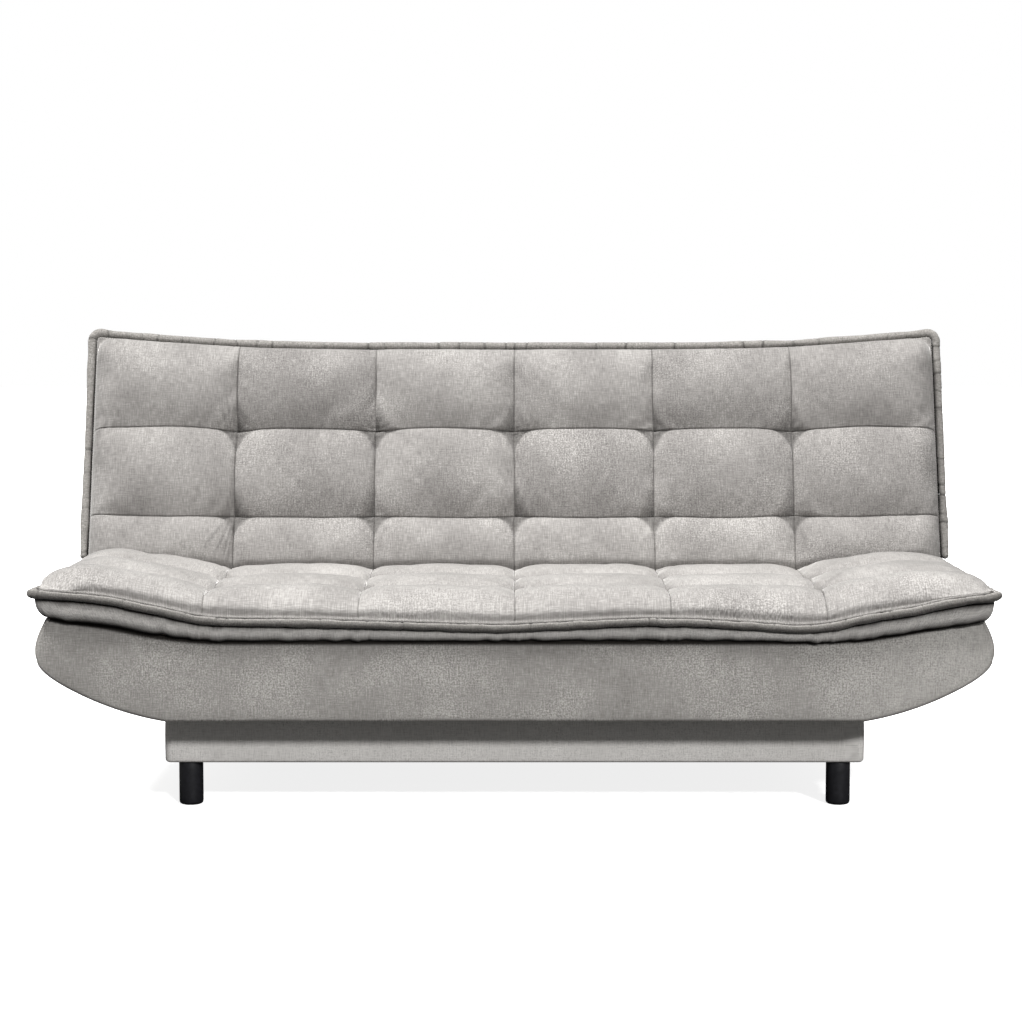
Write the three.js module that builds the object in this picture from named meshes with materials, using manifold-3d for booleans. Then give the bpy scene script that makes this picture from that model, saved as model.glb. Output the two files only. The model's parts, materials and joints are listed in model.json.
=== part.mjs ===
// Click clack sofa bed, upright as a sofa.
// Millimetres, X along the sofa, Y towards its back, Z up, standing on its four feet.
// A boat shaped seat base on a plinth carries a tufted mattress with raised ends. The back is
// a second framed mattress on two ratchet hinges, and folds down flat behind the seat.
// Everything is placed from the hinge line: seat pieces lie at -Y of it, and the back is
// drawn flat at +Y of it, as in the bed, and then turned up as one group.
import * as THREE from 'three';
import { mergeVertices } from 'three/addons/utils/BufferGeometryUtils.js';
import Module from 'manifold-3d';

const wasm = await Module();
wasm.setup();

// Overall sizes
const sofaWidth = 1960;
const seatReach = 614;
const backReach = 606;
const hingeHeight = 403;
const hingeAboveUnderside = 43;
const uprightAngle = 72;

// Clearances
const fit = 0.3;
const runningClearance = 1.5;
const overrun = 20;

// Feet and plinth
const footDiameter = 50;
const footEdgeRadius = 7;
const footSideInset = 50;
const studDiameter = 8;
const studLength = 28;
const frontFootSetback = 172;
const rearFootBehindHinge = 160;
const plinthEndSetback = 257;
const plinthSetback = 140;
const plinthBehindHinge = 220;
const plinthCornerRadius = 14;
const dustSheetThickness = 1;
const footBlockSide = 76;
const deckThickness = 9;

// Boards, slats and covers of both frames
const boardThickness = 18;
const shellThickness = 12;
const coverThickness = 4;
const slatWidth = 53;
const slatThickness = 8;
const slatEndGap = 6.5;
const seatSlatCount = 7;
const backSlatCount = 6;
const panelThickness = 3;

// Seat base, a boat shaped tray
const seatBaseSetback = 40;
const seatHingeGap = 16;
const seatBaseEndSetback = 13;
const seatMouthInset = 20;
const seatFloorInset = 16;
const seatBilgeInset = 68;
const seatBilgeHeight = 65;
const seatBilgeTop = 127;
const seatBilgeBulge = 16.5;
const seatBaseEdgeRadius = 14;

// Back frame, a shallow tray
const backFrameDepth = 58;
const backHingeGap = 20;
const backFrameShort = 24;
const backEndSetback = 26;
const backMouthInset = 2;
const backFloorInset = 59;
const backBilgeInset = 22;
const backBilgeHeight = 7;
const backBilgeTop = 40;
const backBilgeBulge = 1;
const backFrameEdgeRadius = 16;

// Mattresses
const mattressThickness = 100;
const columnCount = 6;
const endColumnExtra = 35;
const seatRowLines = [208, 410];
const backRowLines = [156, 354];
const seamDrop = 15;
const tuftDrop = 27;
const edgeRollDrop = 50;
const edgeRollReach = 110;
const endRollReach = 170;
const cornerRadius = 32;
const hingeEdgeGap = 8;
const foldAngle = 50;
const pipingRadius = 9;
const pipingHeight = 32;
const pipingClearance = 0.9;
const pipingEndSetback = 62;

// Raised ends of the seat and forward curl of the back
const wingSetout = 4;
const wingBlend = 45;
const seatWingSlope = 0.168;
const backWingSlope = 0.072;
const seatTipReach = 16;
const backTipReach = 26;

// Ratchet hinges
const hingeSetback = 28;
const plateThickness = 4;
const discRadius = 24;
const toothHeight = 3;
const toothAngle = 10;
const firstToothAngle = 140;
const toothCount = 10;
const pivotDiameter = 10;
const pivotHeadDiameter = 20;
const pivotHeadHeight = 4.5;
const armWidth = 30;
const armLength = 150;
const armDrop = 77;
const neckWidth = 20;
const armHoleDiameter = 8.5;
const armHoleSpacing = 60;
const pawlPinDiameter = 6;
const pawlPinSide = 18;
const pawlPinDrop = 52;
const pawlWidth = 9;
const pawlAngle = 229;
const springThickness = 1.2;

// Faceting
const pipingSides = 8;
const roundSegments = 20;
const curveSteps = 5;
const edgeSteps = 3;

// Shares of the hinge's height that the feet and the seat base take up, and of the plinth's
// height that a foot's block has
const footHeightShare = 0.226;
const seatBaseHeightShare = 0.417;
const footBlockHeightShare = 0.6;

// Shares of a cell's width and length at which the mattress surface has its grid lines
const columnLineShares = [0, 0.08, 0.28, 0.5, 0.72, 0.92];
const rowLineShares = [0, 0.1, 0.35, 0.65, 0.9];

// The seams, wings, slats and hinges divide up the length in the same way on both halves
const columnPitch = (sofaWidth - 2 * endColumnExtra) / columnCount;
const outerSeam = (columnCount / 2 - 1) * columnPitch;
const tipStart = columnPitch;
const wingStart = outerSeam + wingSetout;
const slatSpan = 2 * (wingStart - wingBlend - slatEndGap) - slatWidth;
const slatPitch = slatSpan / (seatSlatCount - 1);
const plinthWidth = sofaWidth - 2 * plinthEndSetback;
const footSpacing = plinthWidth - 2 * footSideInset;

// Feet, plinth, seat base and mattress stand on each other up to the hinge
const footHeight = footHeightShare * hingeHeight;
const mattressUnderside = hingeHeight - hingeAboveUnderside;
const seatBaseTop = mattressUnderside - slatThickness - 2 * fit;
const seatBaseBottom = mattressUnderside - seatBaseHeightShare * hingeHeight;
const plinthHeight = seatBaseBottom - footHeight;
const footBlockHeight = footBlockHeightShare * plinthHeight;

// The covers rise past the slats' ends to just below the mattresses
const coverRaise = mattressUnderside - seatBaseTop - runningClearance;

const fabric = () => new THREE.MeshStandardMaterial({ color: 0xb4b1ad, roughness: 0.95, metalness: 0 });
const pipingCloth = () => new THREE.MeshStandardMaterial({ color: 0xaaa7a3, roughness: 0.95 });
const wood = () => new THREE.MeshStandardMaterial({ color: 0xc9a777, roughness: 0.7, metalness: 0 });
const bentwood = () => new THREE.MeshStandardMaterial({ color: 0xdcbf90, roughness: 0.5, metalness: 0 });
const plastic = () => new THREE.MeshStandardMaterial({ color: 0x26262b, roughness: 0.4, metalness: 0 });
const steel = () => new THREE.MeshStandardMaterial({ color: 0x2e2f31, roughness: 0.45, metalness: 0.8 });
const blackCloth = () => new THREE.MeshStandardMaterial({ color: 0x1d1d1f, roughness: 1, metalness: 0 });

// A closed geometry as a solid that can be joined and cut
function toSolid(geometry) {
  const bare = geometry.index ? geometry.toNonIndexed() : geometry.clone();
  bare.deleteAttribute('normal');
  bare.deleteAttribute('uv');
  const merged = mergeVertices(bare);
  return new wasm.Manifold(new wasm.Mesh({
    numProp: 3,
    vertProperties: merged.attributes.position.array,
    triVerts: Uint32Array.from(merged.index.array),
  }));
}

// A solid back as a geometry
function toGeometry(solid) {
  const mesh = solid.getMesh();
  const geometry = new THREE.BufferGeometry();
  geometry.setAttribute('position', new THREE.BufferAttribute(mesh.vertProperties, 3));
  geometry.setIndex(new THREE.BufferAttribute(mesh.triVerts, 1));
  geometry.computeVertexNormals();
  return geometry;
}

function cut(body, ...tools) {
  return tools.reduce((rest, tool) => rest.subtract(tool), body);
}

function join(body, ...others) {
  return others.reduce((sum, other) => sum.add(other), body);
}

// A rectangular board between two corners
function board(x0, x1, y0, y1, z0, z1) {
  const geometry = new THREE.BoxGeometry(x1 - x0, y1 - y0, z1 - z0);
  return toSolid(geometry.translate((x0 + x1) / 2, (y0 + y1) / 2, (z0 + z1) / 2));
}

// A solid through outlines in X and Z that have as many points each, one behind the other
function loftAlongY(outlines) {
  const count = outlines[0].points.length;
  const positions = [];
  const triangles = [];
  for (const outline of outlines) {
    for (const point of outline.points) {
      positions.push(point.x, outline.y, point.y);
    }
  }
  for (let ring = 0; ring + 1 < outlines.length; ring += 1) {
    for (let k = 0; k < count; k += 1) {
      const a = ring * count + k;
      const b = ring * count + (k + 1) % count;
      triangles.push(a, b + count, b, a, a + count, b + count);
    }
  }
  const last = count * (outlines.length - 1);
  for (const [a, b, c] of THREE.ShapeUtils.triangulateShape(outlines[0].points, [])) {
    triangles.push(a, b, c);
  }
  for (const [a, b, c] of THREE.ShapeUtils.triangulateShape(outlines.at(-1).points, [])) {
    triangles.push(last + a, last + c, last + b);
  }
  const geometry = new THREE.BufferGeometry();
  geometry.setAttribute('position', new THREE.Float32BufferAttribute(positions, 3));
  geometry.setIndex(triangles);
  return toSolid(geometry);
}

// An outline in Y and Z carried along X
function alongX(shape, x0, x1) {
  const geometry = new THREE.ExtrudeGeometry(shape, {
    depth: x1 - x0,
    bevelEnabled: false,
    curveSegments: roundSegments / 2,
  });
  const turn = new THREE.Matrix4().makeBasis(
    new THREE.Vector3(0, 1, 0),
    new THREE.Vector3(0, 0, 1),
    new THREE.Vector3(1, 0, 0),
  );
  return toSolid(geometry.applyMatrix4(turn).translate(x0, 0, 0));
}

// An outline in X and Y carried up Z
function alongZ(shape, z0, z1) {
  const geometry = new THREE.ExtrudeGeometry(shape, {
    depth: z1 - z0,
    bevelEnabled: false,
    curveSegments: curveSteps,
  });
  return toSolid(geometry.translate(0, 0, z0));
}

// A round bar along X
function barAlongX(radius, x0, x1, y, z) {
  const geometry = new THREE.CylinderGeometry(radius, radius, x1 - x0, roundSegments);
  geometry.rotateZ(Math.PI / 2);
  return toSolid(geometry.translate((x0 + x1) / 2, y, z));
}

// A round bar up Z
function barAlongZ(radius, x, y, z0, z1) {
  const geometry = new THREE.CylinderGeometry(radius, radius, z1 - z0, roundSegments);
  geometry.rotateX(Math.PI / 2);
  return toSolid(geometry.translate(x, y, (z0 + z1) / 2));
}

function place(group, name, solid, material) {
  const mesh = new THREE.Mesh(solid.isBufferGeometry ? solid : toGeometry(solid), material);
  mesh.name = name;
  group.add(mesh);
}

// How far a raised end lifts the surface at x: a straight ramp that a parabola leads into
function wingRise(x, slope) {
  const beyond = Math.abs(x) - wingStart;
  if (beyond > wingBlend) {
    return slope * beyond;
  }
  return slope * Math.max(0, beyond + wingBlend) ** 2 / (4 * wingBlend);
}

// How far the outer edge reaches past its middle at x, growing with the square
function tipShift(x, tipReach) {
  const beyond = Math.max(0, Math.abs(x) - tipStart) / (sofaWidth / 2 - tipStart);
  return tipReach * beyond * beyond;
}

// The seat's and the back's own values, each read by the functions for trays and mattresses
const seat = {
  reach: seatReach,
  tipReach: seatTipReach,
  wingSlope: seatWingSlope,
  rowLines: seatRowLines,
  underside: mattressUnderside - hingeHeight,
  halfWidth: sofaWidth / 2 - seatBaseEndSetback,
  halfFlat: plinthWidth / 2 - seatFloorInset,
  halfMouth: sofaWidth / 2 - seatBaseEndSetback - seatMouthInset,
  bottom: seatBaseBottom,
  top: seatBaseTop,
  bilgeInset: seatBilgeInset,
  bilgeHeight: seatBilgeHeight,
  bilgeTop: seatBilgeTop,
  bilgeBulge: seatBilgeBulge,
  edgeRadius: seatBaseEdgeRadius,
  y0: seatBaseSetback - seatReach,
  y1: -seatHingeGap,
};
const backTop = seatBaseTop - hingeHeight;
const back = {
  reach: backReach,
  tipReach: backTipReach,
  wingSlope: backWingSlope,
  rowLines: backRowLines,
  underside: mattressUnderside - hingeHeight,
  halfWidth: sofaWidth / 2 - backEndSetback,
  halfFlat: sofaWidth / 2 - backEndSetback - backFloorInset,
  halfMouth: sofaWidth / 2 - backEndSetback - backMouthInset,
  bottom: backTop - backFrameDepth,
  top: backTop,
  bilgeInset: backBilgeInset,
  bilgeHeight: backBilgeHeight,
  bilgeTop: backBilgeTop,
  bilgeBulge: backBilgeBulge,
  edgeRadius: backFrameEdgeRadius,
  y0: backHingeGap,
  y1: backReach - backTipReach - backFrameShort,
};

// The outline of a tray in X and Z: a flat floor, bulging bilges that turn up into the ends, and
// a top edge that follows the raised ends. The walls are offset inwards by inset, and the top
// is raised.
function trayOutline(tray, inset, raise) {
  const flatEnd = new THREE.Vector2(tray.halfFlat, tray.bottom);
  const bilgeX = tray.halfWidth - tray.bilgeInset;
  const bilgeEnd = new THREE.Vector2(bilgeX, tray.bottom + tray.bilgeHeight);
  const chord = bilgeEnd.clone().sub(flatEnd);
  const outward = new THREE.Vector2(chord.y, -chord.x).normalize();
  const belly = flatEnd.clone().lerp(bilgeEnd, 1 / 2).addScaledVector(outward, tray.bilgeBulge);
  const slope = (bilgeEnd.y - belly.y) / (bilgeEnd.x - belly.x);
  const wall = new THREE.Path();
  wall.moveTo(0, tray.bottom);
  wall.lineTo(flatEnd.x, flatEnd.y);
  wall.quadraticCurveTo(belly.x, belly.y, bilgeEnd.x, bilgeEnd.y);
  wall.quadraticCurveTo(
    tray.halfWidth,
    bilgeEnd.y + tray.bilgeInset * slope,
    tray.halfWidth,
    tray.bottom + tray.bilgeTop,
  );
  wall.lineTo(tray.halfMouth, tray.top + wingRise(tray.halfMouth, tray.wingSlope));
  const points = wall.getPoints(curveSteps);
  const inner = points.map((point, i) => {
    const before = points[Math.max(0, i - 1)];
    const after = points[Math.min(points.length - 1, i + 1)];
    const into = point.clone().sub(before).normalize();
    const onward = after.clone().sub(point).normalize();
    const along = into.add(onward).normalize();
    return new THREE.Vector2(point.x - along.y * inset, point.y + along.x * inset);
  });
  inner[0].set(0, tray.bottom + inset);
  const rim = inner[inner.length - 1];
  rim.y = tray.top + wingRise(rim.x, tray.wingSlope) + raise;
  const flat = wingStart - wingBlend;
  const ramp = [];
  for (let i = 1; i <= curveSteps; i += 1) {
    const x = rim.x + (flat - rim.x) * i / curveSteps;
    ramp.push(new THREE.Vector2(x, tray.top + wingRise(x, tray.wingSlope) + raise));
  }
  const right = [...inner, ...ramp];
  const left = right.slice(1).reverse().map((point) => new THREE.Vector2(-point.x, point.y));
  return [...right, ...left];
}

// The tray's full outer form with rounded edges in front and behind, shrunk all round by inset
function trayForm(tray, inset, raise = 0) {
  const edge = Math.max(0, tray.edgeRadius - inset);
  const front = [];
  const rear = [];
  for (let i = 0; i <= edgeSteps; i += 1) {
    const turn = Math.PI / 2 * i / edgeSteps;
    const points = trayOutline(tray, inset + edge * (1 - Math.sin(turn)), raise);
    const setback = inset + edge * (1 - Math.cos(turn));
    front.push({ points, y: tray.y0 + setback });
    rear.unshift({ points, y: tray.y1 - setback });
  }
  return loftAlongY([...front, ...rear]);
}

// What lies within the cover, between two planes across Y
function traySlice(tray, y0, y1) {
  const wide = sofaWidth / 2;
  const low = tray.bottom - overrun;
  const high = tray.top + mattressThickness;
  return trayForm(tray, coverThickness + fit).intersect(board(-wide, wide, y0, y1, low, high));
}

const seatFrontRail = [seat.y0 + coverThickness + fit, seat.y0 + coverThickness + fit + boardThickness];
const seatRearRail = [seat.y1 - coverThickness - fit - boardThickness, seat.y1 - coverThickness - fit];
const backLowRail = [back.y0 + coverThickness + fit, back.y0 + coverThickness + fit + boardThickness];
const backTopRail = [back.y1 - coverThickness - fit - boardThickness, back.y1 - coverThickness - fit];

// Where the plinth's front board ends behind, which is as far as the seat base's floor reaches
const plinthFrontInner = plinthSetback - seatReach + coverThickness + fit + boardThickness;

// Planes across X of the hinge parts, from the seat's cross member inwards to the back's stile
const hingeOuterX = wingStart - hingeSetback;
const seatPlate = [hingeOuterX - fit - plateThickness, hingeOuterX - fit];
const backPlate = [seatPlate[0] - fit - plateThickness, seatPlate[0] - fit];
const stilePlane = backPlate[0] - fit;

// The slot that lets a hinge's two plates through a rail and its cover
function hingeSlots(y0, y1) {
  const slots = [];
  for (const side of [-1, 1]) {
    const xs = [side * (backPlate[0] - runningClearance), side * (seatPlate[1] + runningClearance)];
    const low = hingeHeight - armDrop - armWidth / 2 - runningClearance;
    const high = hingeHeight + mattressThickness;
    slots.push(board(Math.min(...xs), Math.max(...xs), y0, y1, low, high));
  }
  return slots;
}

function addFeet(group) {
  const plinthY = [plinthSetback - seatReach, plinthBehindHinge];
  const footYs = { front: frontFootSetback - seatReach, rear: rearFootBehindHinge };
  const radius = footDiameter / 2;
  const profile = new THREE.Path();
  profile.moveTo(0, 0);
  profile.lineTo(radius - footEdgeRadius, 0);
  profile.absarc(radius - footEdgeRadius, footEdgeRadius, footEdgeRadius, -Math.PI / 2, 0, false);
  profile.lineTo(radius, footHeight - fit);
  profile.lineTo(studDiameter / 2, footHeight - fit);
  profile.lineTo(studDiameter / 2, footHeight + studLength);
  profile.lineTo(0, footHeight + studLength);
  for (const [row, y] of Object.entries(footYs)) {
    for (const [name, side] of [['left', -1], ['right', 1]]) {
      const x = side * footSpacing / 2;
      const turned = new THREE.LatheGeometry(profile.getPoints(curveSteps), roundSegments);
      turned.rotateX(Math.PI / 2);
      place(group, `foot_${row}_${name}`, toSolid(turned.translate(x, y, 0)), plastic());

      // The block fills the plinth's corner, against the cover's boards
      const wallX = plinthWidth / 2 - coverThickness - 2 * fit - boardThickness;
      const xs = [side * wallX, side * (wallX - footBlockSide)];
      const wallY = row === 'front' ? plinthY[0] : plinthY[1];
      const inward = row === 'front' ? 1 : -1;
      const near = wallY + inward * (coverThickness + 2 * fit + boardThickness);
      const ys = [near, near + inward * footBlockSide];
      const low = footHeight + dustSheetThickness + fit;
      const block = board(
        Math.min(...xs),
        Math.max(...xs),
        Math.min(...ys),
        Math.max(...ys),
        low,
        low + footBlockHeight,
      );
      const bore = barAlongZ(studDiameter / 2 + fit, x, y, 0, footHeight + studLength + fit);
      place(group, `foot_block_${row}_${name}`, cut(block, bore), wood());
    }
  }
}

// A rectangle in X and Y with rounded corners
function roundedPlan(halfX, y0, y1, radius) {
  const shape = new THREE.Shape();
  shape.absarc(halfX - radius, y0 + radius, radius, -Math.PI / 2, 0, false);
  shape.absarc(halfX - radius, y1 - radius, radius, 0, Math.PI / 2, false);
  shape.absarc(radius - halfX, y1 - radius, radius, Math.PI / 2, Math.PI, false);
  shape.absarc(radius - halfX, y0 + radius, radius, Math.PI, 1.5 * Math.PI, false);
  return shape;
}

function addPlinth(group) {
  const halfX = plinthWidth / 2;
  const y0 = plinthSetback - seatReach;
  const y1 = plinthBehindHinge;
  const low = footHeight;
  const high = footHeight + plinthHeight;
  const inner = coverThickness;
  const outside = alongZ(roundedPlan(halfX, y0, y1, plinthCornerRadius), low, high - fit);
  const inside = alongZ(
    roundedPlan(halfX - inner, y0 + inner, y1 - inner, plinthCornerRadius - inner),
    low - overrun,
    high + overrun,
  );
  place(group, 'plinth_cover', cut(outside, inside), fabric());

  // The boards meet in butt joints, and the corners are eased to follow the cover
  const plan = inner + fit;
  const boards = alongZ(
    roundedPlan(halfX - plan, y0 + plan, y1 - plan, plinthCornerRadius - plan),
    low + dustSheetThickness + fit,
    high - fit,
  );
  const front = y0 + plan + boardThickness;
  const rear = y1 - plan - boardThickness;
  const side = halfX - plan - boardThickness;
  const reachX = sofaWidth;
  const box = (x0, x1, from, to) => boards.intersect(board(x0, x1, from, to, 0, high + overrun));
  place(group, 'plinth_front_board', box(-reachX, reachX, y0, front), wood());
  place(group, 'plinth_rear_board', box(-reachX, reachX, rear, y1), wood());
  place(group, 'plinth_left_board', box(-reachX, -side, front + fit, rear - fit), wood());
  place(group, 'plinth_right_board', box(side, reachX, front + fit, rear - fit), wood());
  const crossX = slatPitch * (seatSlatCount - 1) / 4;
  place(group, 'plinth_cross_left',
    box(-crossX - boardThickness, -crossX, front + fit, seatRearRail[0] - fit), wood());
  place(group, 'plinth_cross_right',
    box(crossX, crossX + boardThickness, front + fit, seatRearRail[0] - fit), wood());

  // The deck closes the plinth behind the seat base, under the leaning back
  const deckFrom = seatRearRail[0];
  const deck = board(-side + fit, side - fit, deckFrom, rear - fit, high - fit - deckThickness, high - fit);
  place(group, 'plinth_deck', deck, wood());

  const sheetX = halfX - inner - fit;
  const sheet = board(-sheetX, sheetX, y0 + plan, y1 - plan, low, low + dustSheetThickness);
  const corner = alongZ(
    roundedPlan(sheetX, y0 + plan, y1 - plan, plinthCornerRadius - inner - fit),
    0,
    high,
  );
  const studHoles = [];
  for (const x of [-footSpacing / 2, footSpacing / 2]) {
    for (const y of [frontFootSetback - seatReach, rearFootBehindHinge]) {
      studHoles.push(barAlongZ(studDiameter / 2 + runningClearance, x, y, 0, high));
    }
  }
  place(group, 'dust_sheet', cut(sheet.intersect(corner), ...studHoles), blackCloth());
}

function addSeatBase(group) {
  const wide = sofaWidth;
  const high = seatBaseTop + mattressThickness;
  const cover = cut(
    trayForm(seat, 0, coverRaise),
    trayForm(seat, coverThickness, overrun),
    board(
      -seat.halfFlat,
      seat.halfFlat,
      plinthFrontInner,
      seatRearRail[0],
      0,
      seatBaseBottom + 2 * coverThickness,
    ),
    ...hingeSlots(seatRearRail[0], overrun),
  );
  place(group, 'seat_base_cover', cover, fabric());
  place(group, 'seat_front_rail', traySlice(seat, ...seatFrontRail), wood());
  const rear = cut(traySlice(seat, ...seatRearRail), ...hingeSlots(seatRearRail[0] - overrun, 0));
  place(group, 'seat_rear_rail', rear, wood());

  // Bent end shells between the two rails, from the edge of the plinth up to the mattress
  const bay = [seatFrontRail[1] + fit, seatRearRail[0] - fit];
  const shellX = hingeOuterX + boardThickness + fit;
  const shell = cut(
    traySlice(seat, ...bay),
    trayForm(seat, coverThickness + fit + shellThickness, overrun),
  );
  place(group, 'seat_end_left', shell.intersect(board(-wide, -shellX, ...bay, 0, high)), wood());
  place(group, 'seat_end_right', shell.intersect(board(shellX, wide, ...bay, 0, high)), wood());

  // Cross members stand over the plinth's front board and carry the rails and the hinges
  const low = seatBaseBottom + coverThickness + fit;
  for (const [name, side] of [['left', -1], ['right', 1]]) {
    const xs = [side * hingeOuterX, side * (hingeOuterX + boardThickness)];
    const member = board(Math.min(...xs), Math.max(...xs), ...bay, low, seatBaseTop);
    place(group, `seat_cross_${name}`, member, wood());
  }

  // A floor closes the base in front of the plinth
  const floorX = hingeOuterX - fit;
  const floor = board(-floorX, floorX, bay[0], plinthFrontInner, low, low + shellThickness);
  place(group, 'seat_floor_board', floor, wood());

  // Slats lie across both rails, under the mattress
  for (let i = 0; i < seatSlatCount; i += 1) {
    const x = (i - (seatSlatCount - 1) / 2) * slatPitch;
    const slat = board(
      x - slatWidth / 2,
      x + slatWidth / 2,
      seatFrontRail[0],
      seatRearRail[1],
      seatBaseTop + fit,
      seatBaseTop + fit + slatThickness,
    );
    place(group, `seat_slat_${i + 1}`, slat, bentwood());
  }
}

function addBackFrame(group) {
  const wide = sofaWidth;
  const panelInset = coverThickness + fit;
  const cover = cut(
    trayForm(back, 0, coverRaise),
    trayForm(back, coverThickness, overrun),
    ...hingeSlots(0, backLowRail[1]).map((slot) => slot.translate([0, 0, -hingeHeight])),
  );
  place(group, 'back_cover', cover, fabric());
  const panelTop = back.bottom + panelInset + panelThickness;
  const sheet = board(-wide, wide, back.y0, back.y1, back.bottom, panelTop);
  place(group, 'back_panel', trayForm(back, panelInset).intersect(sheet), wood());

  const low = panelTop + fit;
  const above = board(-wide, wide, back.y0, back.y1, low, -back.bottom);
  const slots = hingeSlots(0, backLowRail[1]).map((slot) => slot.translate([0, 0, -hingeHeight]));
  place(group, 'back_low_rail', cut(traySlice(back, ...backLowRail).intersect(above), ...slots), wood());
  place(group, 'back_top_rail', traySlice(back, ...backTopRail).intersect(above), wood());

  // End stiles follow the cover's ends, and the hinge stiles stand beside the hinge arms
  const bay = [backLowRail[1] + fit, backTopRail[0] - fit];
  const ends = traySlice(back, ...bay).intersect(above);
  const endX = back.halfMouth - coverThickness - boardThickness;
  for (const [name, side] of [['left', -1], ['right', 1]]) {
    const outer = [side * endX, side * wide];
    const end = board(Math.min(...outer), Math.max(...outer), ...bay, back.bottom, -back.bottom);
    place(group, `back_end_stile_${name}`, ends.intersect(end), wood());
    const inner = [side * stilePlane, side * (stilePlane - boardThickness)];
    const stile = board(Math.min(...inner), Math.max(...inner), ...bay, low, back.top);
    place(group, `back_hinge_stile_${name}`, stile, wood());
  }
  for (let i = 0; i < backSlatCount; i += 1) {
    const x = (i - (backSlatCount - 1) / 2) * slatPitch;
    const slat = board(
      x - slatWidth / 2,
      x + slatWidth / 2,
      backLowRail[0],
      backTopRail[1],
      back.top + fit,
      back.top + fit + slatThickness,
    );
    place(group, `back_slat_${i + 1}`, slat, bentwood());
  }
}

// Grid lines across a mattress: each cell between two seams has the same shares
function gridLines(edges, shares) {
  const lines = [];
  for (let cell = 0; cell + 1 < edges.length; cell += 1) {
    for (const share of shares) {
      lines.push({ cell, share, at: edges[cell] + share * (edges[cell + 1] - edges[cell]) });
    }
  }
  lines.push({ cell: edges.length - 2, share: 1, at: edges[edges.length - 1] });
  return lines;
}

// The edge of a mattress from its underside up: how far each ring lies in from the outline,
// how high above the underside, and how far from the hinge line where it faces the hinge
const grooveInset = 2 * pipingRadius + pipingClearance;
const edgeRings = [
  { inset: 2 * grooveInset, rise: 0, hinge: hingeEdgeGap + 4 * fit },
  { inset: grooveInset - pipingRadius / 3, rise: pipingHeight - 2.4 * pipingRadius, hinge: hingeEdgeGap },
  { inset: grooveInset - pipingRadius / 3, rise: pipingHeight - 1.2 * pipingRadius, hinge: hingeEdgeGap },
  { inset: grooveInset, rise: pipingHeight, hinge: hingeEdgeGap },
  { inset: grooveInset - pipingRadius / 3, rise: pipingHeight + 1.2 * pipingRadius, hinge: hingeEdgeGap },
  { inset: grooveInset - pipingRadius / 5, rise: pipingHeight + 2.6 * pipingRadius, hinge: hingeEdgeGap },
  { inset: 2 * grooveInset, rise: pipingHeight + 4.9 * pipingRadius, hinge: hingeEdgeGap },
];

// Rounds a plan position near an outer corner onto the arc that the corner radius gives. An
// outline that lies further in than the radius has square corners.
function roundCorner(x, y, halfX, reach, inset) {
  const centreX = halfX - cornerRadius;
  const centreY = reach - cornerRadius;
  const radius = cornerRadius - inset;
  const dx = (Math.abs(x) - centreX) / radius;
  const dy = (y - centreY) / radius;
  if (radius <= 0 || dx <= 0 || dy <= 0) {
    return [x, y];
  }
  const roundX = centreX + radius * dx * Math.sqrt(1 - dy * dy / 2);
  const roundY = centreY + radius * dy * Math.sqrt(1 - dx * dx / 2);
  return [Math.sign(x) * roundX, roundY];
}

// Where the surface may start beside the hinge: below a plane at the fold angle through it
function foldLimit(height) {
  return Math.max(0, height) / Math.tan(THREE.MathUtils.degToRad(foldAngle)) + runningClearance;
}

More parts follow.
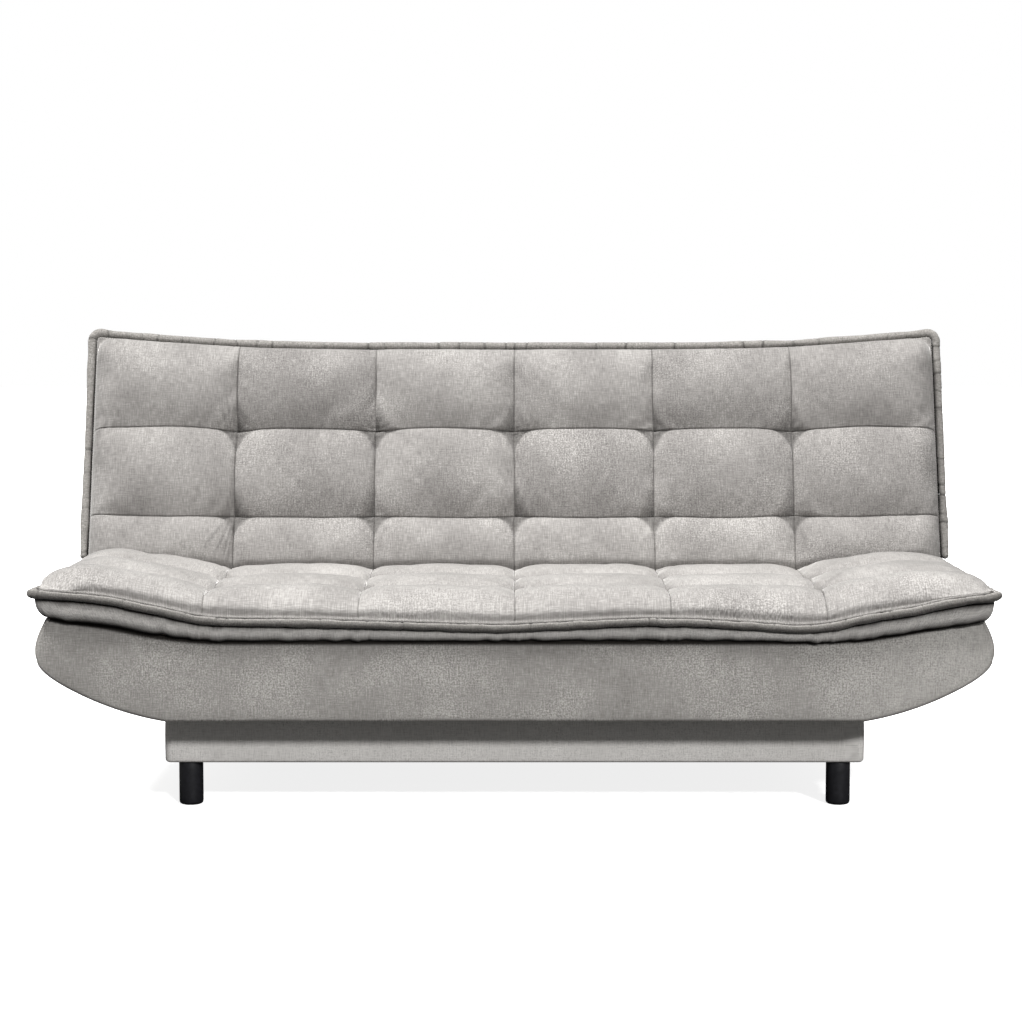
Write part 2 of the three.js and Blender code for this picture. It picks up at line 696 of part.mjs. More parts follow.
// A tufted mattress as rings up its edge and a grid of crowned cells on top, seen from the
// hinge line at the origin with Y out to its far edge. Seams drop with the fourth power of
// the way to the cell's border, tufts drop further where seams cross, and the outer edge
// rolls over with the square of the way left to it.
function mattressGeometry(piece) {
  const half = sofaWidth / 2;
  const seams = [];
  for (let i = 1; i < columnCount; i += 1) {
    seams.push((i - columnCount / 2) * columnPitch);
  }
  const columns = gridLines([-half, ...seams, half], columnLineShares);
  const rows = gridLines([0, ...piece.rowLines, piece.reach - piece.tipReach], rowLineShares);
  const lastColumn = columns.length - 1;
  const lastRow = rows.length - 1;
  const positions = [];
  const triangles = [];
  const crest = mattressThickness - fit;

  // A point of the grid with the outline drawn in by inset
  const planPoint = (i, j, inset, rise, hingeEdge) => {
    const column = columns[i];
    let x = column.at;
    if (column.cell === 0) {
      x = seams[0] - (1 - column.share) * (half - inset + seams[0]);
    } else if (column.cell === columnCount - 1) {
      x = seams[columnCount - 2] + column.share * (half - inset - seams[columnCount - 2]);
    }
    const lift = wingRise(x, piece.wingSlope);
    const near = Math.max(hingeEdge, foldLimit(piece.underside + rise + lift));
    const far = piece.reach - piece.tipReach + tipShift(x, piece.tipReach) - inset;
    const row = rows[j];
    let y = row.at;
    if (row.cell === 0) {
      y = near + row.share * (piece.rowLines[0] - near);
    } else if (row.cell === piece.rowLines.length) {
      y = row.at + row.share * (far - piece.reach + piece.tipReach);
    }
    const reach = far + inset;
    const [px, py] = roundCorner(x, y, half, reach, inset);
    return { x: px, y: py, lift, near, reach };
  };

  const cellDrop = (i, j) => {
    const column = columns[i];
    const row = rows[j];
    let across = Math.abs(2 * column.share - 1) ** 4;
    let along = Math.abs(2 * row.share - 1) ** 4;
    const outerEnd = column.cell === 0 ? column.share < 0.5 : column.share > 0.5;
    if ((column.cell === 0 || column.cell === columnCount - 1) && outerEnd) {
      across = 0;
    }
    const outerRow = row.cell === 0 ? row.share < 0.5 : row.share > 0.5;
    if ((row.cell === 0 || row.cell === piece.rowLines.length) && outerRow) {
      along = 0;
    }
    return seamDrop * (across + along - across * along) + (tuftDrop - seamDrop) * across * along;
  };

  // The border of the grid as a loop of index pairs
  const loop = [];
  for (let i = 0; i < lastColumn; i += 1) loop.push([i, 0]);
  for (let j = 0; j < lastRow; j += 1) loop.push([lastColumn, j]);
  for (let i = lastColumn; i > 0; i -= 1) loop.push([i, lastRow]);
  for (let j = lastRow; j > 0; j -= 1) loop.push([0, j]);

  for (const ring of edgeRings) {
    for (const [i, j] of loop) {
      const point = planPoint(i, j, ring.inset, ring.rise, ring.hinge);
      positions.push(point.x, point.y, piece.underside + fit + ring.rise + point.lift);
    }
  }
  for (let ring = 0; ring + 1 < edgeRings.length; ring += 1) {
    for (let k = 0; k < loop.length; k += 1) {
      const a = ring * loop.length + k;
      const b = ring * loop.length + (k + 1) % loop.length;
      triangles.push(a, b, b + loop.length, a, b + loop.length, a + loop.length);
    }
  }

  // The top takes its border from the last ring
  const topRing = edgeRings[edgeRings.length - 1];
  const ringStart = (edgeRings.length - 1) * loop.length;
  const index = new Map(loop.map(([i, j], k) => [`${i},${j}`, ringStart + k]));
  for (let j = 1; j < lastRow; j += 1) {
    for (let i = 1; i < lastColumn; i += 1) {
      const point = planPoint(i, j, topRing.inset, topRing.rise, topRing.hinge);
      const toEnd = (half - Math.abs(point.x)) * edgeRollReach / endRollReach;
      const toEdge = Math.min(toEnd, point.reach - point.y);
      const roll = Math.max(0, 1 - toEdge / edgeRollReach);
      let height = crest - cellDrop(i, j) - edgeRollDrop * roll * roll;
      const fold = (point.y - runningClearance) * Math.tan(THREE.MathUtils.degToRad(foldAngle));
      height = Math.min(height, fold - piece.underside - point.lift);
      index.set(`${i},${j}`, positions.length / 3);
      positions.push(point.x, point.y, piece.underside + fit + height + point.lift);
    }
  }
  for (let j = 0; j < lastRow; j += 1) {
    for (let i = 0; i < lastColumn; i += 1) {
      const a = index.get(`${i},${j}`);
      const b = index.get(`${i + 1},${j}`);
      const c = index.get(`${i + 1},${j + 1}`);
      const d = index.get(`${i},${j + 1}`);
      triangles.push(a, b, c, a, c, d);
    }
  }

  // The underside is a strip for each grid column, fanned out along both ends
  const under = new Map(loop.map(([i, j], k) => [`${i},${j}`, k]));
  for (let i = 1; i < lastColumn - 1; i += 1) {
    const a = under.get(`${i},0`);
    const b = under.get(`${i + 1},0`);
    const c = under.get(`${i + 1},${lastRow}`);
    const d = under.get(`${i},${lastRow}`);
    triangles.push(a, c, b, a, d, c);
  }
  const leftHub = under.get('1,0');
  const rightHub = under.get(`${lastColumn - 1},0`);
  for (let j = 0; j < lastRow; j += 1) {
    triangles.push(leftHub, under.get(`0,${j}`), under.get(`0,${j + 1}`));
    triangles.push(rightHub, under.get(`${lastColumn},${j + 1}`), under.get(`${lastColumn},${j}`));
  }
  triangles.push(leftHub, under.get(`0,${lastRow}`), under.get(`1,${lastRow}`));
  triangles.push(
    rightHub,
    under.get(`${lastColumn - 1},${lastRow}`),
    under.get(`${lastColumn},${lastRow}`),
  );

  const geometry = new THREE.BufferGeometry();
  geometry.setAttribute('position', new THREE.Float32BufferAttribute(positions, 3));
  geometry.setIndex(triangles);
  return geometry;
}

// The mattress with a pocket at each hinge for its disc, neck and pawl
function mattress(piece) {
  const pocket = discRadius + toothHeight + 2 * runningClearance;
  const solid = toSolid(mattressGeometry(piece));
  const pockets = [-1, 1].map((side) => {
    const ends = [
      side * (backPlate[0] - pivotHeadHeight - runningClearance),
      side * (seatPlate[1] + pivotHeadHeight + runningClearance),
    ];
    const xs = [Math.min(...ends), Math.max(...ends)];
    return join(barAlongX(pocket, ...xs, 0, 0), board(...xs, 0, pocket, piece.underside - fit, 0));
  });
  return cut(solid, ...pockets);
}

// A curve whose steps fall on its own points, so that corners keep their fine steps
class PointedCurve extends THREE.CatmullRomCurve3 {
  getUtoTmapping(u) {
    return u;
  }
}

// The piping round both ends and the outer edge of a mattress, in the groove of its edge
function piping(piece) {
  const half = sofaWidth / 2;
  const height = (x) => piece.underside + fit + pipingHeight + wingRise(x, piece.wingSlope);
  const endX = half - pipingRadius;
  const radius = cornerRadius - pipingRadius;
  const farAt = (x) => piece.reach - piece.tipReach + tipShift(x, piece.tipReach);
  const cornerY = farAt(half) - cornerRadius;
  const cornerX = half - cornerRadius;
  const right = [];
  const sideSteps = 2 * curveSteps;
  for (let i = 0; i < sideSteps; i += 1) {
    const y = pipingEndSetback + (cornerY - pipingEndSetback) * i / sideSteps;
    right.push(new THREE.Vector3(endX, y, height(endX)));
  }
  for (let i = 0; i <= curveSteps; i += 1) {
    const turn = Math.PI / 2 * i / curveSteps;
    const x = cornerX + radius * Math.cos(turn);
    const y = farAt(x) - cornerRadius + radius * Math.sin(turn);
    right.push(new THREE.Vector3(x, y, height(x)));
  }
  const spanSteps = 2 * curveSteps;
  for (let i = 1; i < spanSteps; i += 1) {
    const x = cornerX * (1 - i / spanSteps);
    right.push(new THREE.Vector3(x, farAt(x) - pipingRadius, height(x)));
  }
  const middle = new THREE.Vector3(0, farAt(0) - pipingRadius, height(0));
  const left = right.map((point) => new THREE.Vector3(-point.x, point.y, point.z)).reverse();
  const path = [...right, middle, ...left];
  const section = new THREE.Shape();
  section.absarc(0, 0, pipingRadius, 0, 2 * Math.PI, false);
  const geometry = new THREE.ExtrudeGeometry(section, {
    steps: path.length - 1,
    curveSegments: pipingSides / 2,
    bevelEnabled: false,
    extrudePath: new PointedCurve(path),
  });
  return toSolid(geometry);
}

// A flat arm: a neck straight down from the hinge pin, and a strap from it along the frame
function armSolid(xs) {
  const round = armWidth / 2;
  const strap = new THREE.Shape();
  strap.moveTo(-neckWidth / 2, round - armDrop);
  strap.lineTo(-neckWidth / 2, -armDrop);
  strap.absarc(round - neckWidth / 2, -armDrop, round, Math.PI, 1.5 * Math.PI, false);
  strap.absarc(armLength - round, -armDrop, round, -Math.PI / 2, Math.PI / 2, false);
  for (let i = 1; i <= 2; i += 1) {
    const hole = new THREE.Path();
    hole.absarc(i * armHoleSpacing, -armDrop, armHoleDiameter / 2, 0, 2 * Math.PI, true);
    strap.holes.push(hole);
  }
  const neck = board(...xs, -neckWidth / 2, neckWidth / 2, round - armDrop - fit, 0);
  return join(alongX(strap, ...xs), neck);
}

// The toothed disc of the back's arm: a round plate with a run of saw teeth
function ratchetOutline() {
  const shape = new THREE.Shape();
  const step = THREE.MathUtils.degToRad(toothAngle);
  const start = THREE.MathUtils.degToRad(firstToothAngle);
  shape.moveTo(discRadius * Math.cos(start), discRadius * Math.sin(start));
  for (let i = 0; i < toothCount; i += 1) {
    const root = start + i * step;
    const tip = discRadius + toothHeight;
    shape.lineTo(tip * Math.cos(root), tip * Math.sin(root));
    shape.lineTo(discRadius * Math.cos(root + step), discRadius * Math.sin(root + step));
  }
  const end = start + toothCount * step;
  shape.absarc(0, 0, discRadius, end, start + 2 * Math.PI, false);
  return shape;
}

// A pawl on its pin, hanging below the disc with its tip just clear of the teeth
function pawlSolid(xs, pinEnd) {
  const angle = THREE.MathUtils.degToRad(pawlAngle);
  const reach = discRadius + toothHeight + 2 * fit;
  const tip = new THREE.Vector2(reach * Math.cos(angle), reach * Math.sin(angle));
  const pin = new THREE.Vector2(-pawlPinSide, -pawlPinDrop);
  const along = tip.clone().sub(pin).normalize();
  const across = new THREE.Vector2(-along.y, along.x);
  const half = pawlWidth / 2;
  const shape = new THREE.Shape();
  const turn = Math.atan2(across.y, across.x);
  shape.absarc(pin.x, pin.y, half, turn, turn + Math.PI, false);
  const shoulder = tip.clone().addScaledVector(along, -half);
  shape.lineTo(shoulder.x - across.x * half, shoulder.y - across.y * half);
  shape.lineTo(tip.x, tip.y);
  shape.lineTo(shoulder.x + across.x * half, shoulder.y + across.y * half);
  const radius = pawlPinDiameter / 2;
  return join(alongX(shape, ...xs), barAlongX(radius, xs[0], pinEnd, pin.x, pin.y));
}

// A leaf spring that stands against the pawl's back
function springSolid(xs) {
  const shape = new THREE.Shape();
  const near = -pawlPinSide - pawlWidth / 2 - fit - springThickness;
  const foot = -pawlPinDrop - pawlWidth;
  const head = -pawlPinDrop + pawlWidth;
  shape.moveTo(near - pawlWidth, foot);
  shape.lineTo(near, foot);
  shape.quadraticCurveTo(near + springThickness, foot, near + springThickness, foot + springThickness);
  shape.lineTo(near + springThickness, head);
  shape.lineTo(near, head);
  shape.lineTo(near, foot + springThickness);
  shape.lineTo(near - pawlWidth, foot + springThickness);
  return alongX(shape, ...xs);
}

// One ratchet hinge. The solids are drawn on the right side and mirrored for the left one.
function addHinge(seatGroup, backGroup, name, side) {
  const mirror = (solid) => (side > 0 ? solid : solid.mirror([1, 0, 0]));
  const bore = barAlongX(pivotDiameter / 2 + fit, 0, sofaWidth / 2, 0, 0);
  const disc = new THREE.Shape();
  disc.absarc(0, 0, discRadius, 0, 2 * Math.PI, false);
  const pinHole = barAlongX(pawlPinDiameter / 2 + fit, 0, sofaWidth / 2, -pawlPinSide, -pawlPinDrop);
  const seatArm = join(
    alongX(disc, ...seatPlate),
    armSolid(seatPlate).mirror([0, 1, 0]),
  );
  place(seatGroup, `hinge_seat_arm_${name}`, mirror(cut(seatArm, bore, pinHole)), steel());
  const backArm = join(alongX(ratchetOutline(), ...backPlate), armSolid(backPlate));
  place(backGroup, `hinge_back_arm_${name}`, mirror(cut(backArm, bore)), steel());

  const span = [backPlate[0] - fit, seatPlate[1] + fit];
  const rivet = join(
    barAlongX(pivotDiameter / 2, ...span, 0, 0),
    barAlongX(pivotHeadDiameter / 2, span[0] - pivotHeadHeight, span[0], 0, 0),
    barAlongX(pivotHeadDiameter / 2, span[1], span[1] + pivotHeadHeight, 0, 0),
  );
  place(seatGroup, `hinge_pivot_${name}`, mirror(rivet), steel());
  place(seatGroup, `hinge_pawl_${name}`, mirror(pawlSolid(backPlate, seatPlate[1])), steel());
  place(seatGroup, `hinge_spring_${name}`, mirror(springSolid(backPlate)), steel());
}

const sofa = new THREE.Group();
addFeet(sofa);
addPlinth(sofa);
addSeatBase(sofa);

// Seat pieces that are drawn outwards from the hinge line
const seatTop = new THREE.Group();
seatTop.position.z = hingeHeight;
seatTop.rotation.z = Math.PI;
sofa.add(seatTop);
place(seatTop, 'seat_mattress', mattress(seat), fabric());
place(seatTop, 'seat_piping', piping(seat), pipingCloth());

const hinges = new THREE.Group();
hinges.position.z = hingeHeight;
sofa.add(hinges);

const backrest = new THREE.Group();
backrest.position.z = hingeHeight;
backrest.rotation.x = THREE.MathUtils.degToRad(uprightAngle);
sofa.add(backrest);
addBackFrame(backrest);
place(backrest, 'back_mattress', mattress(back), fabric());
place(backrest, 'back_piping', piping(back), pipingCloth());
addHinge(hinges, backrest, 'left', -1);
addHinge(hinges, backrest, 'right', 1);

// The origin lies under the middle of the whole sofa
sofa.updateMatrixWorld(true);
const bounds = new THREE.Box3().setFromObject(sofa, true);
sofa.position.y = -(bounds.min.y + bounds.max.y) / 2;
sofa.updateMatrixWorld(true);

export default sofa;
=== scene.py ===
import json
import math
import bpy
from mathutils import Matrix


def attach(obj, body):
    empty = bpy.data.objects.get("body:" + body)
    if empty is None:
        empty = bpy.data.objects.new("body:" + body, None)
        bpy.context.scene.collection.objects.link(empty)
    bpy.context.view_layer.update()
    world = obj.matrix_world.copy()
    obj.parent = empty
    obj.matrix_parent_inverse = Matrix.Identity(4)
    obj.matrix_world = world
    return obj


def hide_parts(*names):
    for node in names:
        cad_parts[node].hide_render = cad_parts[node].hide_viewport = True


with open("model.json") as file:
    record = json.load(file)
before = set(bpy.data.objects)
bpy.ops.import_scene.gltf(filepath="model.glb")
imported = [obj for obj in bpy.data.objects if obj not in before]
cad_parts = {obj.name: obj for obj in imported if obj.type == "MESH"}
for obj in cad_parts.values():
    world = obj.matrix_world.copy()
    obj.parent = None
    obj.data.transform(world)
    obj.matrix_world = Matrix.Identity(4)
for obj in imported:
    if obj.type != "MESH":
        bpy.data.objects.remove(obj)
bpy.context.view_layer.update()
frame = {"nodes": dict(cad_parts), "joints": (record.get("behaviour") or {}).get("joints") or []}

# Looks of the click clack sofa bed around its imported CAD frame.
# Metres, X along the sofa, Y towards its back, Z up. Sewn and stuffed pieces are worked out from
# the hinge line outwards, lying flat as in the bed, and then placed on the seat or the back.
from types import SimpleNamespace

import bmesh
import bpy
import numpy as np

hinge = np.array(frame["joints"][0]["pos_m"])

# Sizes that both halves share, as the CAD source has them
sofa = {
    "halfWidth": 0.980,
    "underside": -0.0427,     # of both mattresses, from the hinge line
    "thickness": 0.0997,
    "columns": 6,
    "pitch": 0.315,           # between the column seams
    "wingSetout": 0.004,
    "wingBlend": 0.045,
    "cornerRadius": 0.032,
    "pipingRadius": 0.009,
    "pipingRise": 0.032,      # of the piping's middle, above the underside
    "foldAngle": math.radians(50),
    "uprightAngle": math.radians(72),
    "waveFade": (0.35, 0.20),  # the wave of the far edge starts this far out and is full this much further
    "coverWall": 0.003,
}
wingStart = (sofa["columns"] / 2 - 1) * sofa["pitch"] + sofa["wingSetout"]
tipStart = sofa["pitch"]

seat = {
    "side": "seat",
    "reach": 0.614,
    "tipReach": 0.016,
    "wingSlope": 0.168,
    "rowLines": (0.208, 0.410),
    "rowBow": (0.004, 0.006),   # how far a row seam bows away from the hinge between two tufts
    "facetSide": 1,             # the cells on this side of a row seam have the rounded corners
    "roll": (0.105, 0.150, 0.235),   # width of the rolled edge: far side, left end, right end
    # How far the piping and the edge over it rise and dip along the front, in millimetres, at
    # places along X
    "waveAt": (-0.98, -0.91, -0.87, -0.83, -0.79, -0.75, -0.71, -0.67, -0.63, -0.55, -0.43, -0.23, -0.03,
               0.09, 0.25, 0.37, 0.47, 0.57, 0.63, 0.68, 0.73, 0.81, 0.85, 0.89, 0.93, 0.98),
    "wave": (7, 13, 17, 19, 19, 16, 15, 12, 8, 5, 4, -2, -8, -2, 6, 4, -2, -9, -6, -1, 1, 0, 4, 5, 3, 3),
    # How far the roll under the piping hangs down over the base, which is more at the ends, in
    # millimetres
    "sagAt": (-0.98, -0.93, -0.91, -0.87, -0.83, -0.79, -0.75, -0.67, -0.43,
              0.17, 0.47, 0.57, 0.63, 0.69, 0.73, 0.85, 0.91, 0.98),
    "sag": (7, 9, 10, 6, 2, 4, 6, 4, 5, 3, 4, 6, 8, 12, 14, 14, 18, 18),
    "pipingHigh": 0.84,         # height of the piping, as a share of its width
    "setIn": 0.0,               # how far the top's border is set in behind the piping
    "seamDrop": 0.023,          # where a row seam draws the cloth in between two tufts
    "rowPowers": (2.5, 2.5, 2.5),   # a cell is domed along its short side
    "lip": 0.0065,              # how far the cells swell out over the sewn edge
    "topStitch": 0.0016,        # depth of the groove that the top stitching draws in
    "nap": 0.10,                # painted light or shade: how much lighter or darker the whole top is
    "cellNap": 0.10,            # how much that differs from cell to cell
    "wallDark": 0.0,            # painted shade on the top of the wall behind the piping: how dark it is
    "edgeDark": 1.0,            # painted shade in the groove along the far edge: how dark it is
    "underDark": 0.52,          # how dark the piping is below, where the roll under it keeps the light off
    "rollLight": 0.9,             # painted light on the roll under the piping: how much lighter it is
    "endRound": 0.013,          # how much shorter that roll is below than at the piping, at each end
    "frontSwell": 0.0060,       # how much further that roll stands out along the front
    # How deep the cloth is drawn in left and right of each seam, above its two tufts
    "wedges": ((0.35, 1.0),) * 10,
    "wedgeShade": 0.62,          # how dark the painted shade there is
    # Long folds that a tuft pulls: from X and Y to X and Y, height and width
    "folds": ((-0.648, 0.400, -0.720, 0.300, 0.0022, 0.0060), (-0.662, 0.405, -0.760, 0.360, 0.0016, 0.0050),
              (0.650, 0.398, 0.730, 0.310, 0.0020, 0.0060), (0.330, 0.420, 0.372, 0.500, 0.0016, 0.0050)),
    "seed": 21,
}
back = {
    "side": "back",
    "reach": 0.606,
    "tipReach": 0.026,
    "wingSlope": 0.072,
    "rowLines": (0.156, 0.354),
    "rowBow": (-0.004, 0.007),
    "facetSide": -1,
    "roll": (0.085, 0.085, 0.085),
    "waveAt": (-0.98, 0.98),
    "wave": (0, 0),
    "sagAt": (-0.98, 0.98),
    "sag": (0, 0),
    "pipingHigh": 1.0,
    "setIn": 0.0026,
    "seamDrop": 0.0165,
    "rowPowers": (2.6, 3.4, 2.6),
    "lip": 0.0025,
    "topStitch": 0.0,
    # painted shade: the whole top is darker
    "nap": -0.27,
    "cellNap": 0.26,
    "wallDark": 1.0,
    "edgeDark": 0.65,
    "underDark": 0.0,
    "rollLight": 0.0,
    "endRound": 0.0,
    "frontSwell": 0.0,
    "wedges": ((0.3, 0.9), (0.8, 0.15), (0.1, 0.9), (0.8, 0.1), (0.7, 0.3),
               (0.5, 1.0), (0.2, 1.0), (0.8, 0.4), (0.2, 0.9), (0.6, 0.8)),
    "wedgeShade": 0.85,
    "folds": ((-0.633, 0.146, -0.676, 0.030, 0.0062, 0.0048), (-0.640, 0.152, -0.700, 0.062, 0.0036, 0.0042),
              (-0.631, 0.140, -0.650, 0.030, 0.0048, 0.0040), (-0.638, 0.352, -0.650, 0.440, 0.0034, 0.0040),
              (-0.646, 0.356, -0.668, 0.430, 0.0028, 0.0044), (0.301, 0.340, 0.262, 0.262, 0.0016, 0.0050),
              (-0.018, 0.345, -0.060, 0.275, 0.0014, 0.0050), (0.642, 0.150, 0.668, 0.060, 0.0018, 0.0050)),
    "seed": 22,
}


# An sRGB hex colour as linear red, green, blue and alpha
def linear(hexColour):
    value = np.array([int(hexColour[i:i + 2], 16) for i in (1, 3, 5)]) / 255
    rgb = np.where(value <= 0.04045, value / 12.92, ((value + 0.055) / 1.055) ** 2.4)
    return (*rgb.tolist(), 1.0)


# A smooth random field between about -2 and 2: a sum of plane waves near the given length
def softNoise(x, y, length, seed, waves=9):
    draw = np.random.default_rng(seed)
    turn = draw.uniform(0, 2 * np.pi, waves)
    stretch = draw.uniform(0.7, 1.5, waves) * 2 * np.pi / length
    phase = draw.uniform(0, 2 * np.pi, waves)
    total = np.zeros(np.broadcast(x, y).shape)
    for k in range(waves):
        total = total + np.sin((x * np.cos(turn[k]) + y * np.sin(turn[k])) * stretch[k] + phase[k])
    return total / math.sqrt(waves / 2)


# A cubic step from 0 to 1
def ease(t):
    t = np.clip(t, 0, 1)
    return t * t * (3 - 2 * t)


# A bell of height 1 and the given width: e to the minus square of the way out
def bell(away, width):
    return np.exp(-(away / width) ** 2)


# Each vector divided by its length
def unit(vectors):
    return vectors / np.linalg.norm(vectors, axis=-1, keepdims=True)


# How far along a line each of its points is: the sum of the steps up to it
def wayAlong(line):
    return np.concatenate([[0], np.linalg.norm(np.diff(line, axis=0), axis=1).cumsum()])


# A mesh object from points, lists of faces, a UV position in metres of cloth for each face
# corner, and named values for each point
def makePiece(name, points, faces, cornerUv=None, values=None, weld=0.0):
    mesh = bpy.data.meshes.new(name)
    mesh.from_pydata(points.reshape(-1, 3).tolist(), [], [face.tolist() for face in faces])
    if cornerUv is not None:
        layer = mesh.uv_layers.new(name="cloth")
        layer.data.foreach_set("uv", np.asarray(cornerUv, np.float32).ravel())
    for key, numbers in (values or {}).items():
        layer = mesh.attributes.new(key, "FLOAT", "POINT")
        layer.data.foreach_set("value", np.asarray(numbers, np.float32).ravel())
    piece = bpy.data.objects.new(name, mesh)
    bpy.context.scene.collection.objects.link(piece)
    if weld:
        work = bmesh.new()
        work.from_mesh(mesh)
        bmesh.ops.remove_doubles(work, verts=work.verts, dist=weld)
        bmesh.ops.dissolve_degenerate(work, edges=work.edges, dist=weld)
        work.to_mesh(mesh)
        work.free()
    mesh.shade_smooth()
    return piece


# Faces of a grid of points: rows of quads, whose columns join round where it is closed. With
# them come the grid steps of every face corner, which don't wrap, for its UV position.
def gridFaces(rows, columns, closed=False):
    row, column = np.indices((rows - 1, columns - (not closed))).reshape(2, -1, 1)
    steps = np.stack([row + [0, 1, 1, 0], column + [0, 0, 1, 1]], -1)
    return steps[..., 0] * columns + steps[..., 1] % columns, steps


# Turns all faces the same way round, which is outwards on a closed piece. On an open one, the
# face that lies furthest along Y, towards the given sign, has to look that way.
def faceOutwards(piece, furthest=0):
    work = bmesh.new()
    work.from_mesh(piece.data)
    bmesh.ops.recalc_face_normals(work, faces=work.faces)
    if furthest:
        last = max(work.faces, key=lambda face: face.calc_center_median().y * furthest)
        if last.normal.y * furthest < 0:
            bmesh.ops.reverse_faces(work, faces=work.faces)
    work.to_mesh(piece.data)
    work.free()


# Gives a piece its finish, wall or subdivision, and its place in the part
def finishPiece(piece, body, material, replaced=(), wall=0.0, subdivide=0):
    piece.data.materials.append(material)
    if wall:
        thick = piece.modifiers.new("wall", "SOLIDIFY")
        thick.thickness = wall
        thick.offset = -1
    if subdivide:
        smooth = piece.modifiers.new("smooth", "SUBSURF")
        smooth.levels = smooth.render_levels = subdivide
    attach(piece, body)
    if replaced:
        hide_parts(*replaced)
    return piece


# Joins nodes to the sockets of another, by their first outputs where no other one is given
def joinNodes(tree, node, links):
    for key, source in links.items():
        tree.links.new(getattr(source, "outputs", [source])[0], node.inputs[key])


# Adds a shader node. Settings are its own properties or its sockets' values, and links join
# other nodes to its sockets. Stops are a colour ramp's places and colours.
def addNode(tree, kind, settings=None, links=None):
    node = tree.nodes.new("ShaderNode" + kind)
    for key, value in (settings or {}).items():
        if key == "stops":
            ramp = node.color_ramp
            while len(ramp.elements) < len(value):
                ramp.elements.new(0.5)
            for element, (place, colour) in zip(ramp.elements, value):
                element.position = place
                element.color = linear(colour)
        elif isinstance(key, str) and key not in node.inputs and hasattr(node, key):
            setattr(node, key, value)
        else:
            node.inputs[key].default_value = value
    joinNodes(tree, node, links or {})
    return node


def newMaterial(name, settings=None):
    material = bpy.data.materials.new(name)
    material.use_nodes = True
    tree = material.node_tree
    tree.nodes.clear()
    output = addNode(tree, "OutputMaterial")
    shader = addNode(tree, "BsdfPrincipled", settings)
    joinNodes(tree, output, {"Surface": shader})
    return material, tree, shader


# The sum of several tones, each less its middle value and times its share, plus a start value
def blendTones(tree, start, parts):
    total = None
    for tone, middle, share in parts:
        base = start if total is None else 0
        scaled = addNode(tree, "Math", {
            "operation": "MULTIPLY_ADD", 1: share, 2: -middle * share + base}, {0: tone})
        if total is not None:
            scaled = addNode(tree, "Math", {"operation": "ADD"}, {0: total, 1: scaled})
        total = scaled
    return total


weave = {
    "dark": "#605d5b",
    "middle": "#8d8a87",
    "light": "#bbb8b4",
    "thread": 0.0023,        # the real thread is 0.8 mm, drawn as coarse as a pixel shows
    "streak": 0.022,         # length of a slub along its thread
    "speckle": 0.0034,       # tufts of pile that lie another way
    "brush": 0.030,          # brush marks
    "cloud": 0.19,           # broad patches of nap
    "threadTone": 0.34,
    "speckleTone": 0.36,
    "brushTone": 0.10,
    "cloudTone": 0.09,
    # share of the nap value, which holds random nap and painted light and shade
    "napAndLightTone": 0.2,
    "bump": 0.0005,
    # the colour of painted shade
    "paintedShadeColour": "#3c3936",
    "sheenColour": "#f3f1ee",
    "sheen": 0.85,
}
